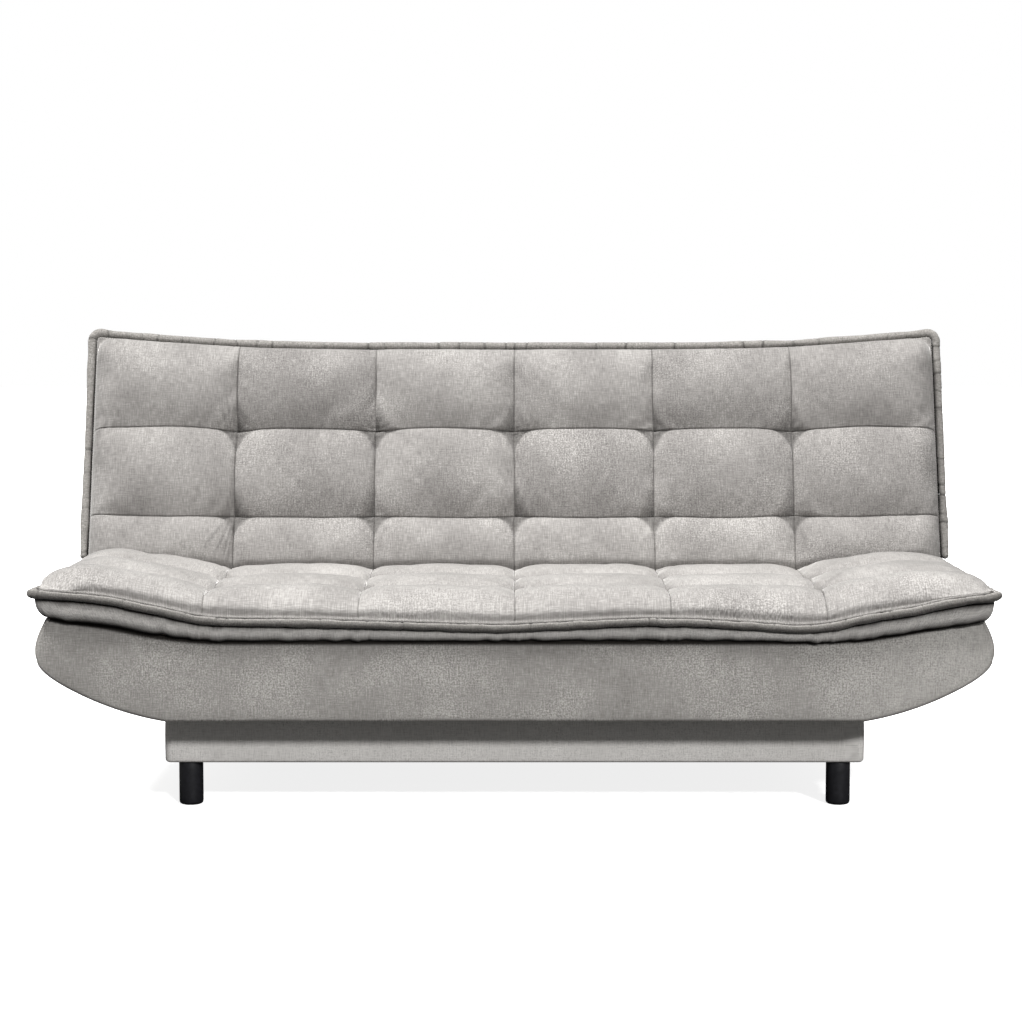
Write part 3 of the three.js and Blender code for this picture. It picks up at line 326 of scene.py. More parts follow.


# Woven suede: polyester woven with slubbed threads both ways and brushed to a short pile. It
# shows fine streaks along and across, speckled where the pile is ruffled, soft broad clouds of
# nap, and a pale sheen where it turns away. A point's shade value is painted shade along seams,
# in hollows, grooves and folds and under rolls: it darkens the colour and takes away the sheen.
# A point's nap value lightens or darkens it, as random nap and as painted light and shade on
# whole pieces, and the ruffle value strengthens its speckles.
def makeWovenSuede(name, values):
    material, tree, shader = newMaterial(name, {
        "Roughness": 0.95, "Specular IOR Level": 0.15, "Sheen Roughness": 0.34,
        "Sheen Tint": linear(values["sheenColour"])})
    uv = addNode(tree, "UVMap", {"uv_map": "cloth"})
    sizes = {
        "warp": (values["thread"], values["streak"], 1.5),
        "weft": (values["streak"], values["thread"], 1.5),
        "speckle": (values["speckle"], values["speckle"], 2.0),
        "brush": (values["brush"], values["brush"] * 1.7, 2.0),
        "cloud": (values["cloud"], values["cloud"] * 0.8, 1.0),
    }
    tone = {}
    for index, (key, (alongX, alongY, detail)) in enumerate(sizes.items()):
        place = addNode(tree, "Mapping", {
            "Location": (17.3 * index, 9.1 * index, 0), "Scale": (1 / alongX, 1 / alongY, 1)}, {"Vector": uv})
        tone[key] = addNode(tree, "TexNoise", {
            "noise_dimensions": "2D", "Scale": 1.0, "Detail": detail, "Roughness": 0.6}, {"Vector": place})
    # The pile is ruffled in some clouds and in some cells
    ruffle = addNode(tree, "Attribute", {"attribute_name": "ruffle"}).outputs["Fac"]
    ruffled = addNode(tree, "MapRange", {
        "From Min": 0.42, "From Max": 0.64, "To Min": 0.25, "To Max": 1.4}, {"Value": tone["cloud"]})
    ruffled = addNode(tree, "Math", {"operation": "ADD"}, {0: ruffled, 1: ruffle})
    speckle = addNode(tree, "Math", {"operation": "SUBTRACT", 1: 0.5}, {0: tone["speckle"]})
    speckle = addNode(tree, "Math", {"operation": "MULTIPLY"}, {0: speckle, 1: ruffled})
    # Nap: random nap, and painted light and shade on whole pieces and on the roll under the piping
    nap = addNode(tree, "Attribute", {"attribute_name": "nap"}).outputs["Fac"]
    blended = blendTones(tree, 0.5, [
        (tone["warp"], 0.5, values["threadTone"]), (tone["weft"], 0.5, values["threadTone"] * 0.8),
        (speckle, 0.0, values["speckleTone"]), (tone["brush"], 0.5, values["brushTone"]),
        (tone["cloud"], 0.5, values["cloudTone"]), (nap, 0.0, values["napAndLightTone"])])
    ramp = addNode(tree, "ValToRGB", {
        "stops": [(0.2, values["dark"]), (0.5, values["middle"]), (0.8, values["light"])]}, {"Fac": blended})
    # Painted shade: darkens the colour and lowers the sheen where seams, hollows and grooves would be in shade
    crease = addNode(tree, "Attribute", {"attribute_name": "crease"}).outputs["Fac"]
    shade = addNode(tree, "Mix", {
        "data_type": "RGBA", "blend_type": "MULTIPLY", 7: linear(values["paintedShadeColour"])}, {0: crease, 6: ramp})
    sheen = addNode(tree, "MapRange", {"To Min": values["sheen"], "To Max": 0.0}, {"Value": crease})
    threads = addNode(tree, "Math", {"operation": "ADD"}, {0: tone["warp"], 1: tone["weft"]})
    bump = addNode(tree, "Bump", {"Strength": 0.5, "Distance": values["bump"]}, {"Height": threads})
    joinNodes(tree, shader, {"Base Color": shade.outputs[2], "Sheen Weight": sheen, "Normal": bump})
    return material


upholstery = makeWovenSuede("wovenSuede", weave)
# Lit copies of the cloth, as painted light: the long cover's is a little lighter, and the plinth's much paler
litShellCloth = makeWovenSuede("wovenSuedeLitShell", {
    **weave, "dark": "#676461", "middle": "#96938f", "light": "#c2bfba",
    "threadTone": 0.30, "speckleTone": 0.60, "cloudTone": 0.24})
litPlinthCloth = makeWovenSuede("wovenSuedeLitPlinth", {
    **weave, "dark": "#aaa7a3", "middle": "#d8d5d1", "light": "#f0ede9"})
pipingCloth = makeWovenSuede("wovenSuedePiping", {
    **weave, "dark": "#5a5755", "middle": "#84817d", "light": "#aca9a5", "threadTone": 0.4, "streak": 0.009})

plain = {
    # name: colours from dark to light, grain size along X, Y and Z, roughness, bump, metallic
    "beech": (("#c39a66", "#d9b685", "#e6c99d"), (0.006, 0.09, 0.006), 0.48, 0.00012, 0.0),
    "pineBoard": (("#b58f5e", "#cdab7a", "#dfc498"), (0.12, 0.012, 0.012), 0.68, 0.00025, 0.0),
    "plywoodSheet": (("#b08c60", "#c5a376", "#d6b98d"), (0.16, 0.02, 0.02), 0.7, 0.0002, 0.0),
    "paintedSteel": (("#222325", "#2b2c2e", "#343538"), (0.004, 0.004, 0.004), 0.42, 0.00008, 0.85),
    "mouldedPlastic": (("#17171a", "#1e1e22", "#26262b"), (0.0016, 0.0016, 0.0016), 0.4, 0.00005, 0.0),
    "spunbondCloth": (("#151516", "#1e1e20", "#2a2a2c"), (0.0022, 0.0022, 0.0022), 0.95, 0.0003, 0.0),
    "sewingThread": (("#807d79", "#918e8a", "#a19e9a"), (0.0012, 0.0012, 0.0012), 0.7, 0.0001, 0.0),
}


# Wood, metal, plastic and thread: stretched grain on object coordinates, with colour, roughness
# and bump that follow it. Beech is steamed and bent, pine sawn, plywood peeled, the steel painted
# satin black, the plastic moulded with a fine spark texture, the dust cloth spunbonded, and the
# thread bonded polyester.
def makePlain(name, values):
    colours, size, roughness, bumpHeight, metallic = values
    material, tree, shader = newMaterial(name, {"Metallic": metallic})
    coords = addNode(tree, "TexCoord").outputs["Object"]
    place = addNode(tree, "Mapping", {"Scale": tuple(1 / s for s in size)}, {"Vector": coords})
    fine = addNode(tree, "TexNoise", {"Scale": 1.0, "Detail": 6.0, "Roughness": 0.62}, {"Vector": place})
    broad = addNode(tree, "TexNoise", {"Scale": 0.23, "Detail": 3.0}, {"Vector": place})
    grain = fine.outputs["Fac"]
    blended = blendTones(tree, 0.5, [(grain, 0.5, 0.5), (broad.outputs["Fac"], 0.5, 0.5)])
    ramp = addNode(tree, "ValToRGB", {
        "stops": [(0.35, colours[0]), (0.5, colours[1]), (0.66, colours[2])]}, {"Fac": blended})
    rough = addNode(tree, "MapRange", {
        "From Min": 0.3, "From Max": 0.7, "To Min": roughness - 0.07, "To Max": roughness + 0.07},
        {"Value": grain})
    bump = addNode(tree, "Bump", {"Strength": 0.6, "Distance": bumpHeight}, {"Height": grain})
    joinNodes(tree, shader, {"Base Color": ramp, "Roughness": rough, "Normal": bump})
    return material


plainMaterials = {name: makePlain(name, values) for name, values in plain.items()}
print("materials made")


studio = {
    "camera": (-0.0075, -5.2386, 1.005),
    "pitch": math.radians(4.54),
    "lens": 85.03,
    # Each light's tilt from straight overhead towards the camera, turn to one side, strength and
    # the angle it spreads over
    "topLight": (22, -60, 5.8, 26),
    "frontLight": (59, 22, 2.1, 7),
    "ambient": 0.19,
    "floorHalf": 30.0,
    "floorGlow": 0.84,        # what keeps the shadows on the floor pale, seen by the camera alone
    "floorBounce": 0.06,      # the floor is this grey to all but the camera, as it is far off in a studio
}
camera = bpy.data.objects.new("camera", bpy.data.cameras.new("camera"))
bpy.context.scene.collection.objects.link(camera)
camera.location = studio["camera"]
camera.rotation_euler = (math.radians(90) - studio["pitch"], 0, 0)
camera.data.lens = studio["lens"]
camera.data.sensor_width = 36
bpy.context.scene.camera = camera

for name in ("topLight", "frontLight"):
    tilt, aside, strength, spread = studio[name]
    light = bpy.data.lights.new(name, "SUN")
    light.energy = strength
    light.angle = math.radians(spread)
    lamp = bpy.data.objects.new(name, light)
    lamp.rotation_euler = (math.radians(tilt), 0, math.radians(aside))
    bpy.context.scene.collection.objects.link(lamp)

# The camera sees a white room, and the sofa gets a softer light from it
world = bpy.data.worlds.new("softRoom")
world.use_nodes = True
worldTree = world.node_tree
rays = addNode(worldTree, "LightPath")
strength = addNode(worldTree, "MapRange", {
    "To Min": studio["ambient"], "To Max": 1.0}, {"Value": rays.outputs["Is Camera Ray"]})
worldTree.nodes["Background"].inputs["Color"].default_value = (1, 1, 1, 1)
joinNodes(worldTree, worldTree.nodes["Background"], {"Strength": strength})
bpy.context.scene.world = world
bpy.context.scene.view_settings.view_transform = "Standard"

floorMaterial, floorTree, floorShader = newMaterial("paleFloor", {
    "Roughness": 0.95, "Specular IOR Level": 0.0, "Emission Color": (1, 1, 1, 1)})
floorRays = addNode(floorTree, "LightPath").outputs["Is Camera Ray"]
floorNoise = addNode(floorTree, "TexNoise", {"Scale": 3.0, "Detail": 4.0}).outputs["Fac"]
floorRamp = addNode(floorTree, "ValToRGB", {
    "stops": [(0.3, "#f4f4f3"), (0.7, "#f9f9f8")]}, {"Fac": floorNoise})
floorMix = addNode(floorTree, "Mix", {
    "data_type": "RGBA", 6: (*[studio["floorBounce"]] * 3, 1)}, {0: floorRays, 7: floorRamp})
floorGlow = addNode(floorTree, "Math", {"operation": "MULTIPLY", 1: studio["floorGlow"]}, {0: floorRays})
joinNodes(floorTree, floorShader, {"Base Color": floorMix.outputs[2], "Emission Strength": floorGlow})
span = np.linspace(-studio["floorHalf"], studio["floorHalf"], 9)
floorX, floorY = np.meshgrid(span, span, indexing="ij")
floor = makePiece("floor", np.stack([floorX, floorY, 0 * floorX], -1), gridFaces(9, 9)[0])
floor.data.materials.append(floorMaterial)
print("camera, lights and floor set")


# How far a raised end lifts the surface: a straight ramp that a parabola leads into
def wingRise(x, half):
    beyond = np.abs(x) - wingStart
    blend = sofa["wingBlend"]
    curve = np.maximum(0, beyond + blend) ** 2 / (4 * blend)
    return half["wingSlope"] * np.where(beyond > blend, beyond, curve)


# The far edge's distance from the hinge line: its middle's, and more with the square of the way out
def farEdge(x, half):
    out = np.maximum(0, np.abs(x) - tipStart) / (sofa["halfWidth"] - tipStart)
    return half["reach"] - half["tipReach"] + half["tipReach"] * out ** 2


# Measured heights along X, in millimetres, as a smooth line in metres: straight lines between the
# places, averaged over a sliding window
def smoothLine(x, places, heights):
    fine = np.linspace(-1.1, 1.1, 441)
    rough = np.interp(fine, places, heights)
    window = np.hanning(15)
    smooth = np.convolve(np.pad(rough, 7, mode="edge"), window / window.sum(), mode="valid")
    return np.interp(x, fine, smooth) / 1000


# The rise and dip of the sewn edge, which fades out on the way back to the hinge
def edgeWave(x, y, half):
    start, span = sofa["waveFade"]
    return smoothLine(x, half["waveAt"], half["wave"]) * np.clip((y - start) / span, 0, 1)


# How far the roll under the piping hangs down
def rollSag(x, half):
    return smoothLine(x, half["sagAt"], half["sag"])


cosine, sine = math.cos(sofa["uprightAngle"]), math.sin(sofa["uprightAngle"])


# Points from the hinge line, Y outwards and Z away from the frame, put on the seat by a mirror or
# on the back by a turn about the hinge
def placeHalf(points, half):
    x, y, z = np.moveaxis(points, -1, 0)
    if half["side"] == "seat":
        return np.stack([x, -y, z], -1) + hinge
    return np.stack([x, y * cosine - z * sine, y * sine + z * cosine], -1) + hinge


# The same the other way round
def unplaceHalf(points, half):
    x, y, z = np.moveaxis(points - hinge, -1, 0)
    if half["side"] == "seat":
        return np.stack([x, -y, z], -1)
    return np.stack([x, y * cosine + z * sine, -y * sine + z * cosine], -1)


# A plan position near an outer corner moved onto the arc that the corner radius gives
def roundCorner(x, y, reach, inset):
    centreX = sofa["halfWidth"] - sofa["cornerRadius"]
    centreY = reach - sofa["cornerRadius"]
    radius = max(sofa["cornerRadius"] - inset, 1e-4)
    dx = np.maximum(0, (np.abs(x) - centreX) / radius)
    dy = np.maximum(0, (y - centreY) / radius)
    inside = (dx > 0) & (dy > 0) & (inset < sofa["cornerRadius"])
    roundX = np.sign(x) * (centreX + radius * dx * np.sqrt(np.maximum(0, 1 - dy ** 2 / 2)))
    roundY = centreY + radius * dy * np.sqrt(np.maximum(0, 1 - dx ** 2 / 2))
    return np.where(inside, roundX, x), np.where(inside, roundY, y)


# Lines that crowd towards each seam: a sine takes up to the gather's share of the even step away
def spreadLines(edges, step, gather=0.78):
    lines = []
    for a, b in zip(edges[:-1], edges[1:]):
        count = max(6, round((b - a) / step))
        t = np.arange(count) / count
        lines.append(a + (b - a) * (t - gather * np.sin(2 * np.pi * t) / (2 * np.pi)))
    return np.append(np.concatenate(lines), edges[-1])


mattress = {
    "step": 0.0072,
    "columnShare": 0.55,      # a column seam's drop as a share of a row seam's
    "columnPower": 6.0,       # a cell is flat, with steep sides, along its long side
    "fullness": 0.12,         # how much that differs from cell to cell
    "tuftDrop": 0.007,
    "tuftReach": 0.085,
    "facetSize": (0.056, 0.072),   # rounding of a cell's corners, outside of which a facet lies lower
    "facetLevel": 1.4,        # a facet lies this share of the seam's drop down
    "wedgeSize": (0.040, 0.095),   # width and length of what two folds draw in above a tuft
    "pullDrop": 0.007,
    "bowReach": 0.12,         # how far from a row seam the cells still bow with it
    "groove": 0.0189,         # inset of the sewn edge behind the piping
    "nearHinge": 0.008,
    "foldGap": 0.0015,        # what each half leaves free at the plane in which the two meet
    "flatInset": 0.045,       # further in than this, the underside is flat
    "middleInset": 0.3,       # of the ends of its long middle line
    "pullIn": 0.25,           # inset at which the rings would meet on that line
    "border": (0.0018, 0.0132),    # the top's: inset past the groove's, rise above the piping's middle
    "cornerPower": 2.6,       # how square the top's outline turns its corners
    "edgePowers": (2.3, 0.62),     # how late and how steeply the top falls to its border
    "lipReach": 0.008,        # how far in from there the swelling of the lip is greatest
    # The edge from the underside up: inset from the outline, rise above the underside, distance
    # from the hinge line, and how dark it is, as little light gets under the roll or to the piping
    "underEdge": ((0.250, 0.0, 0.010, 0.0), (0.150, 0.0, 0.010, 0.0), (0.090, 0.0, 0.010, 0.0),
                  (0.045, 0.0001, 0.0095, 0.0), (0.0395, 0.0002, 0.0095, 0.0), (0.030, 0.0003, 0.009, 1.0),
                  (0.0215, 0.0022, 0.008, 0.95), (0.0165, 0.0068, 0.008, 0.30), (0.0146, 0.0125, 0.008, 0.0),
                  (0.0148, 0.0185, 0.008, 0.0), (0.0160, 0.0222, 0.008, 0.4), (0.0130, 0.0262, 0.008, 0.9)),
    # The wall behind the piping: inset past the groove's, rise above the piping's middle, how
    # dark its painted shade is, and its share of the half's wallDark
    "wall": ((0, 0, 1.0, 0), (0, 0.0030, 1.0, 0), (-0.0008, 0.0056, 1.0, 0), (-0.0010, 0.0076, 0.7, 0),
             (-0.0004, 0.0090, 0, 1), (0.0004, 0.0100, 0, 1), (0.0002, 0.0113, 0, 0)),
    "rollHeight": 0.027,
    "rollLightAt": (0.005, 0.025),   # the rises between which it gets painted light
    "rollEnd": (0.86, 0.10, 0.025),   # its ends are drawn in from this X on, over this length, up to this rise
    "overhang": (0.040, 0.012),    # inset at which it starts to hang down, and over what inset fully
    "rollFolds": 0.0011,      # depth of the folds across the roll, and lengths of the broad and fine ones
    "foldLengths": (0.045, 0.019),
    "hingeClear": 0.03,       # no folds nearer to the hinge line than this
    "scallop": (0.0004, 0.0006),   # how far its lower edge rises and dips with each of them
    "seamWobble": 0.0006,
    "stitchDepth": 0.0032,
    "ripple": 0.00045,        # puckers across a seam, their length and how far they reach
    "rippleLength": 0.016,
    "rippleReach": 0.013,
    "fan": 0.0013,            # folds that fan out of a tuft, and the ring round it where they are deepest
    "fanRing": (0.040, 0.030),
    "edgeGather": 0.0006,
    "unevenness": 0.0012,
    # width of the painted shade along a seam
    "seamShadeWidth": 0.0012,
    "shadeTones": (0.54, 0.42),    # how dark the painted shade is along a seam, and on a facet
    "topStitchWay": 0.0105,   # from the border in to the groove of the top stitching
    "topStitchWidth": 0.0018,
    "pressure": 4.0,
    "slack": 0.012,           # how much more cloth there is than the form needs
    "cap": 0.022,             # how far the cloth may move
    "frames": 20,
}


# The lines that cut a mattress into cells one way, the cell of each and its share of the way
# through that cell
def cellLines(edges):
    lines = spreadLines(edges, mattress["step"])
    cell = np.clip(np.searchsorted(edges, lines + 1e-9, side="right") - 1, 0, len(edges) - 2)
    return lines, cell, (lines - edges[cell]) / np.diff(edges)[cell]


def cellGrid(half):
    seams = (np.arange(1, sofa["columns"]) - sofa["columns"] / 2) * sofa["pitch"]
    across, cellX, shareX = cellLines(np.array([-sofa["halfWidth"], *seams, sofa["halfWidth"]]))
    along, cellY, shareY = cellLines(np.array([0, *half["rowLines"], half["reach"] - half["tipReach"]]))
    return SimpleNamespace(
        seams=seams, across=across, cellX=cellX, shareX=shareX, along=along, cellY=cellY, shareY=shareY)


# Where the grid's points lie in plan when the outline is drawn in by the inset, and the lift of
# the raised ends there. The outer cells are squeezed, the near ones stay clear of the plane of
# the fold, and a row seam bows as a parabola between two tufts.
def placeInPlan(grid, half, i, j, inset, hingeEdge, rise):
    halfWidth, lastSeam = sofa["halfWidth"], grid.seams[-1]
    x, y, shareX, shareY = grid.across[i], grid.along[j], grid.shareX[i], grid.shareY[j]
    squeezed = np.sign(x) * (
        lastSeam + (np.abs(x) - lastSeam) * (halfWidth - inset - lastSeam) / (halfWidth - lastSeam))
    x = np.where((grid.cellX[i] == 0) | (grid.cellX[i] == sofa["columns"] - 1), squeezed, x)
    lift = wingRise(x, half)
    height = np.maximum(0, sofa["underside"] + rise + lift)
    near = np.maximum(hingeEdge, height / math.tan(sofa["foldAngle"]) + mattress["foldGap"])
    far = farEdge(x, half) - inset
    firstRow, lastRow = half["rowLines"]
    y = np.where(grid.cellY[j] == 0, near + shareY * (firstRow - near), y)
    y = np.where(grid.cellY[j] == 2, lastRow + shareY * (far - lastRow), y)
    bow = np.zeros_like(y)
    for line, amount in zip(half["rowLines"], half["rowBow"]):
        bow = bow + amount * (1 - (2 * shareX - 1) ** 2) * ease(
            1 - np.abs(grid.along[j] - line) / mattress["bowReach"])
    x, y = roundCorner(x, y + bow, far + inset, inset)
    return x, y, lift


# The rings of a mattress's edge: from the long middle line of its underside out, up the roll that
# hangs over the frame, into the piping, which is sewn there, and up the wall behind it. The roll
# has folds across it, deepest at half its height, stands out along the front, is drawn in below
# at its ends, and sags with a scalloped edge. With the rings come their painted light, on the
# roll under the piping, and their painted shade, under the roll, at the piping and in the grooves.
def edgeRings(grid, half, loopI, loopJ):
    halfWidth, underside, high = sofa["halfWidth"], sofa["underside"], sofa["pipingRise"]
    groove, near, flatInset = mattress["groove"], mattress["nearHinge"], mattress["flatInset"]
    rings = [*mattress["underEdge"], (groove, high - 0.0035, near, 1.0)]
    for inset, rise, dark, wallShare in mattress["wall"]:
        rings.append((groove + half["setIn"] + inset, high + rise, near, dark + wallShare * half["wallDark"]))
    onFar = loopJ == loopJ.max()
    borderX, borderY, _ = placeInPlan(grid, half, loopI, loopJ, 0.0, 0.0, 0.0)
    way = wayAlong(np.stack([borderX, borderY], -1))
    broadLength, fineLength = mattress["foldLengths"]
    fineFolds = softNoise(way, 0 * way, fineLength, half["seed"] + 6)
    broadFolds = softNoise(way, 0 * way, broadLength, half["seed"] + 5) + 0.6 * fineFolds
    x, y, _ = placeInPlan(grid, half, loopI, loopJ, flatInset, mattress["underEdge"][0][2], 0.0)
    endX = halfWidth - mattress["middleInset"]
    x = np.clip(x, -endX, endX)
    points = [np.stack([x, 0 * y + (y.min() + y.max()) / 2, underside + wingRise(x, half)], -1)]
    for inset, rise, hingeEdge, _ in rings:
        x, y, lift = placeInPlan(grid, half, loopI, loopJ, min(inset, flatInset), hingeEdge, rise)
        if inset > flatInset:
            y = y + ((y.min() + y.max()) / 2 - y) * ((inset - flatInset) / mattress["pullIn"])
            x = np.clip(x, -(halfWidth - inset), halfWidth - inset)
            lift = wingRise(x, half)
        share, offHinge = min(1, rise / high), y > mattress["hingeClear"]
        wave = edgeWave(x, y, half) * share
        depth = mattress["rollFolds"] * broadFolds * np.sin(np.pi * share) * offHinge
        x = x - np.sign(x) * depth * (np.abs(np.abs(x) - (halfWidth - inset)) < 0.004)
        stand = half["frontSwell"] * np.sin(np.pi * min(1, rise / mattress["rollHeight"])) ** 0.7
        y = np.where(onFar, y - depth + stand * ease((halfWidth - inset - np.abs(x)) / 0.04), y)
        start, span, upTo = mattress["rollEnd"]
        shorter = half["endRound"] * (1 - min(1, rise / upTo)) ** 1.5
        x = x - np.sign(x) * shorter * ease((np.abs(x) - start) / span)
        start, span = mattress["overhang"]
        overhang = np.clip((start - inset) / span, 0, 1) * max(0, 1 - rise / high) ** 0.8
        sag = rollSag(x, half) * overhang * np.clip((y - 0.05) / 0.1, 0, 1)
        scallop = mattress["scallop"][0] * broadFolds + mattress["scallop"][1] * fineFolds
        scallop = scallop * np.clip((0.035 - inset) / 0.01, 0, 1) * (rise < mattress["rollHeight"])
        scallop = scallop * (y > mattress["hingeClear"])
        points.append(np.stack([x, y, underside + rise + lift + wave - sag + scallop], -1))
    dark = np.outer([0, *(ring[3] for ring in rings)], np.where(onFar, half["edgeDark"], 1))
    nap = np.zeros_like(dark)
    low, high = mattress["rollLightAt"]
    nap[1:][[low < ring[1] < high for ring in rings]] = half["rollLight"]
    return np.stack(points), dark, nap, np.stack([borderX, borderY], -1)


# The tufted top over its plan. A cell's height falls with a power of the way to its seams, each
# tuft draws a cone in, the rounded corners of the cells on one side of a row seam leave a lower
# facet at the tuft, folds fan out of it as cosines of the angle, and the outer edge is a
# super-ellipse that swells out over the sewn edge. With the sheet come its marks: painted shade
# along the seams, on the facets, in the wedges and beside the long folds, and its nap, which is
# random and painted light or shade on the whole top.
def topSheet(grid, half, draw):
    columns, halfWidth = sofa["columns"], sofa["halfWidth"]
    i, j = np.indices((len(grid.across), len(grid.along)))
    inset = mattress["groove"] + half["setIn"] + mattress["border"][0]
    rise = sofa["pipingRise"] + mattress["border"][1]
    x, y, lift = placeInPlan(grid, half, i, j, inset, mattress["nearHinge"], rise)
    across, along, cellX, cellY = grid.across[i], grid.along[j], grid.cellX[i], grid.cellY[j]
    shareX, shareY = grid.shareX[i], grid.shareY[j]
    outerX = ((cellX == 0) & (shareX < 0.5)) | ((cellX == columns - 1) & (shareX > 0.5))
    outerY = ((cellY == 0) & (shareY < 0.5)) | ((cellY == 2) & (shareY > 0.5))
    dropX = np.where(outerX, 0, np.abs(2 * shareX - 1) ** mattress["columnPower"]) * mattress["columnShare"]
    dropY = np.where(outerY, 0, np.abs(2 * shareY - 1) ** np.array(half["rowPowers"])[cellY])
    fullness = 1 + mattress["fullness"] * draw.uniform(-1, 1, (columns, 3))[cellX, cellY]
    drop = half["seamDrop"] * (1 - (1 - dropX) * (1 - dropY)) * fullness
    seamIndex = np.argmin(np.abs(across[..., None] - grid.seams), -1)
    nearSeamX = np.abs(across - grid.seams[seamIndex])
    rightOfSeam = (across > grid.seams[seamIndex]) * 1
    nearSeamY = np.min(np.abs(along[..., None] - np.array(half["rowLines"])), -1)
    nearTuft = np.hypot(nearSeamX, nearSeamY * 1.2)
    drop = drop + mattress["tuftDrop"] * np.maximum(0, 1 - nearTuft / mattress["tuftReach"]) ** 1.6

    # Facets outside the rounded corners, and the wedges that folds leave on the seam's other side
    (cornerX, cornerY), (wedgeX, wedgeY) = mattress["facetSize"], mattress["wedgeSize"]
    wedges = np.array(half["wedges"]).reshape(2, columns - 1, 2)
    facet, pull = np.zeros_like(x), np.zeros_like(x)
    for index, line in enumerate(half["rowLines"]):
        beyond = (along - line) * half["facetSide"]
        inCorner = (beyond >= -1e-9) & (beyond < cornerY) & (nearSeamX < cornerX)
        outside = (np.hypot(1 - nearSeamX / cornerX, 1 - np.abs(beyond) / cornerY) - 1) * cornerX
        facet = np.maximum(facet, np.where(inCorner, ease((outside + 0.0005) / 0.0045), 0))
        wedge = np.maximum(0, 1 - nearSeamX / wedgeX + beyond / wedgeY) * wedges[index, seamIndex, rightOfSeam]
        pull = np.maximum(pull, np.where(beyond <= 1e-9, wedge, 0))
    lower = np.maximum(0, half["seamDrop"] * mattress["facetLevel"] - drop)
    drop = drop + facet * lower + mattress["pullDrop"] * pull ** 1.3

    # The edge rolls over towards the outline, and the hinge side is left to the fold's plane
    rollFar, rollLeft, rollRight = half["roll"]
    toEnd, toFar = halfWidth - np.abs(x), farEdge(x, half) - y
    outEnd = np.clip(1 - (toEnd - inset) / (np.where(x < 0, rollLeft, rollRight) - inset), 0, 1)
    outFar = np.clip(1 - (toFar - inset) / (rollFar - inset), 0, 1)
    power, (late, steep) = mattress["cornerPower"], mattress["edgePowers"]
    out = np.clip((outEnd ** power + outFar ** power) ** (1 / power), 0, 1)
    toEdge = np.minimum(toEnd, toFar)
    height = rise + (sofa["thickness"] - rise) * (1 - out ** late) ** steep
    height = height - drop * np.clip((toEdge - inset) / 0.06, 0.2, 1)
    reach = mattress["lipReach"]
    swellX, swellY = (
        half["lip"] / reach * np.maximum(0, to - inset) * np.exp(1 - np.maximum(0, to - inset) / reach)
        for to in (toEnd, toFar))
    wave = edgeWave(x, y, half)
    z = sofa["underside"] + height + lift + wave * np.clip(1 - (toEdge - inset) / 0.12, 0, 1)

    # Puckers across the seams, and folds that fan out of the tufts
    drift = 2.2 * softNoise(across, along, 0.11, half["seed"] + 1)
    puckers = 0
    for place, nearSeam in ((along, nearSeamX), (across, nearSeamY)):
        puckers = puckers + np.sin(2 * np.pi * place / mattress["rippleLength"] + drift) * bell(
            nearSeam, mattress["rippleReach"])
    uneven = 1 + 0.8 * softNoise(across, along, 0.2, half["seed"] + 2)
    z = z + mattress["ripple"] * puckers * uneven * (toEdge > 0.03)
    for tuftX in grid.seams:
        for tuftY in half["rowLines"]:
            away = np.hypot(across - tuftX, along - tuftY)
            turn = np.arctan2(along - tuftY, across - tuftX)
            folds, phase, strength = draw.integers(7, 11), draw.uniform(0, 6.28), draw.uniform(0.4, 1.2)
            ring = bell(away - mattress["fanRing"][0], mattress["fanRing"][1])
            z = z + mattress["fan"] * strength * (np.cos(folds * turn + phase + 0.7 * drift) * ring)
    # Long folds, each a bell across its line, with painted shade beside it
    foldShade = np.zeros_like(x)
    for fromX, fromY, toX, toY, foldHeight, foldWidth in half["folds"]:
        lineX, lineY = toX - fromX, toY - fromY
        share = np.clip(((across - fromX) * lineX + (along - fromY) * lineY) / (lineX ** 2 + lineY ** 2), 0, 1)
        away = np.hypot(across - fromX - share * lineX, along - fromY - share * lineY)
        fade = np.sin(np.pi * (0.12 + 0.88 * share)) ** 0.7
        z = z + foldHeight * bell(away, foldWidth) * fade
        beside = (across - fromX) * lineY - (along - fromY) * lineX
        beside = -beside * np.sign(lineY) / math.hypot(lineX, lineY) / foldWidth
        shade = np.where(away < 4 * foldWidth, bell(beside - 1.3, 0.6), 0) * fade * foldHeight / 0.010
        foldShade = np.maximum(foldShade, shade)
    # The groove of the top stitching, gathers along the sewn edge, and a slight unevenness
    z = z - half["topStitch"] * bell(
        toEdge - inset - mattress["topStitchWay"], mattress["topStitchWidth"])
    gather = softNoise(across + along, across - along, 0.030, half["seed"] + 3)
    z = z + mattress["edgeGather"] * gather * bell(toEdge - 0.035, 0.022)
    z = z + mattress["unevenness"] * softNoise(across, along, 0.16, half["seed"] + 4)
    foldPlane = (y - mattress["foldGap"]) * math.tan(sofa["foldAngle"])
    z = np.minimum(z, foldPlane)
    onBorder = (i == 0) | (i == i.max()) | (j == j.max())
    z = np.where(onBorder, sofa["underside"] + rise + lift + wave, z)
    wobble = softNoise(across, along, 0.25, 5) * mattress["seamWobble"] * ~onBorder
    points = np.stack([
        x + np.sign(x) * swellX + wobble * (nearSeamX < 0.02), y + swellY + wobble * (nearSeamY < 0.02), z], -1)

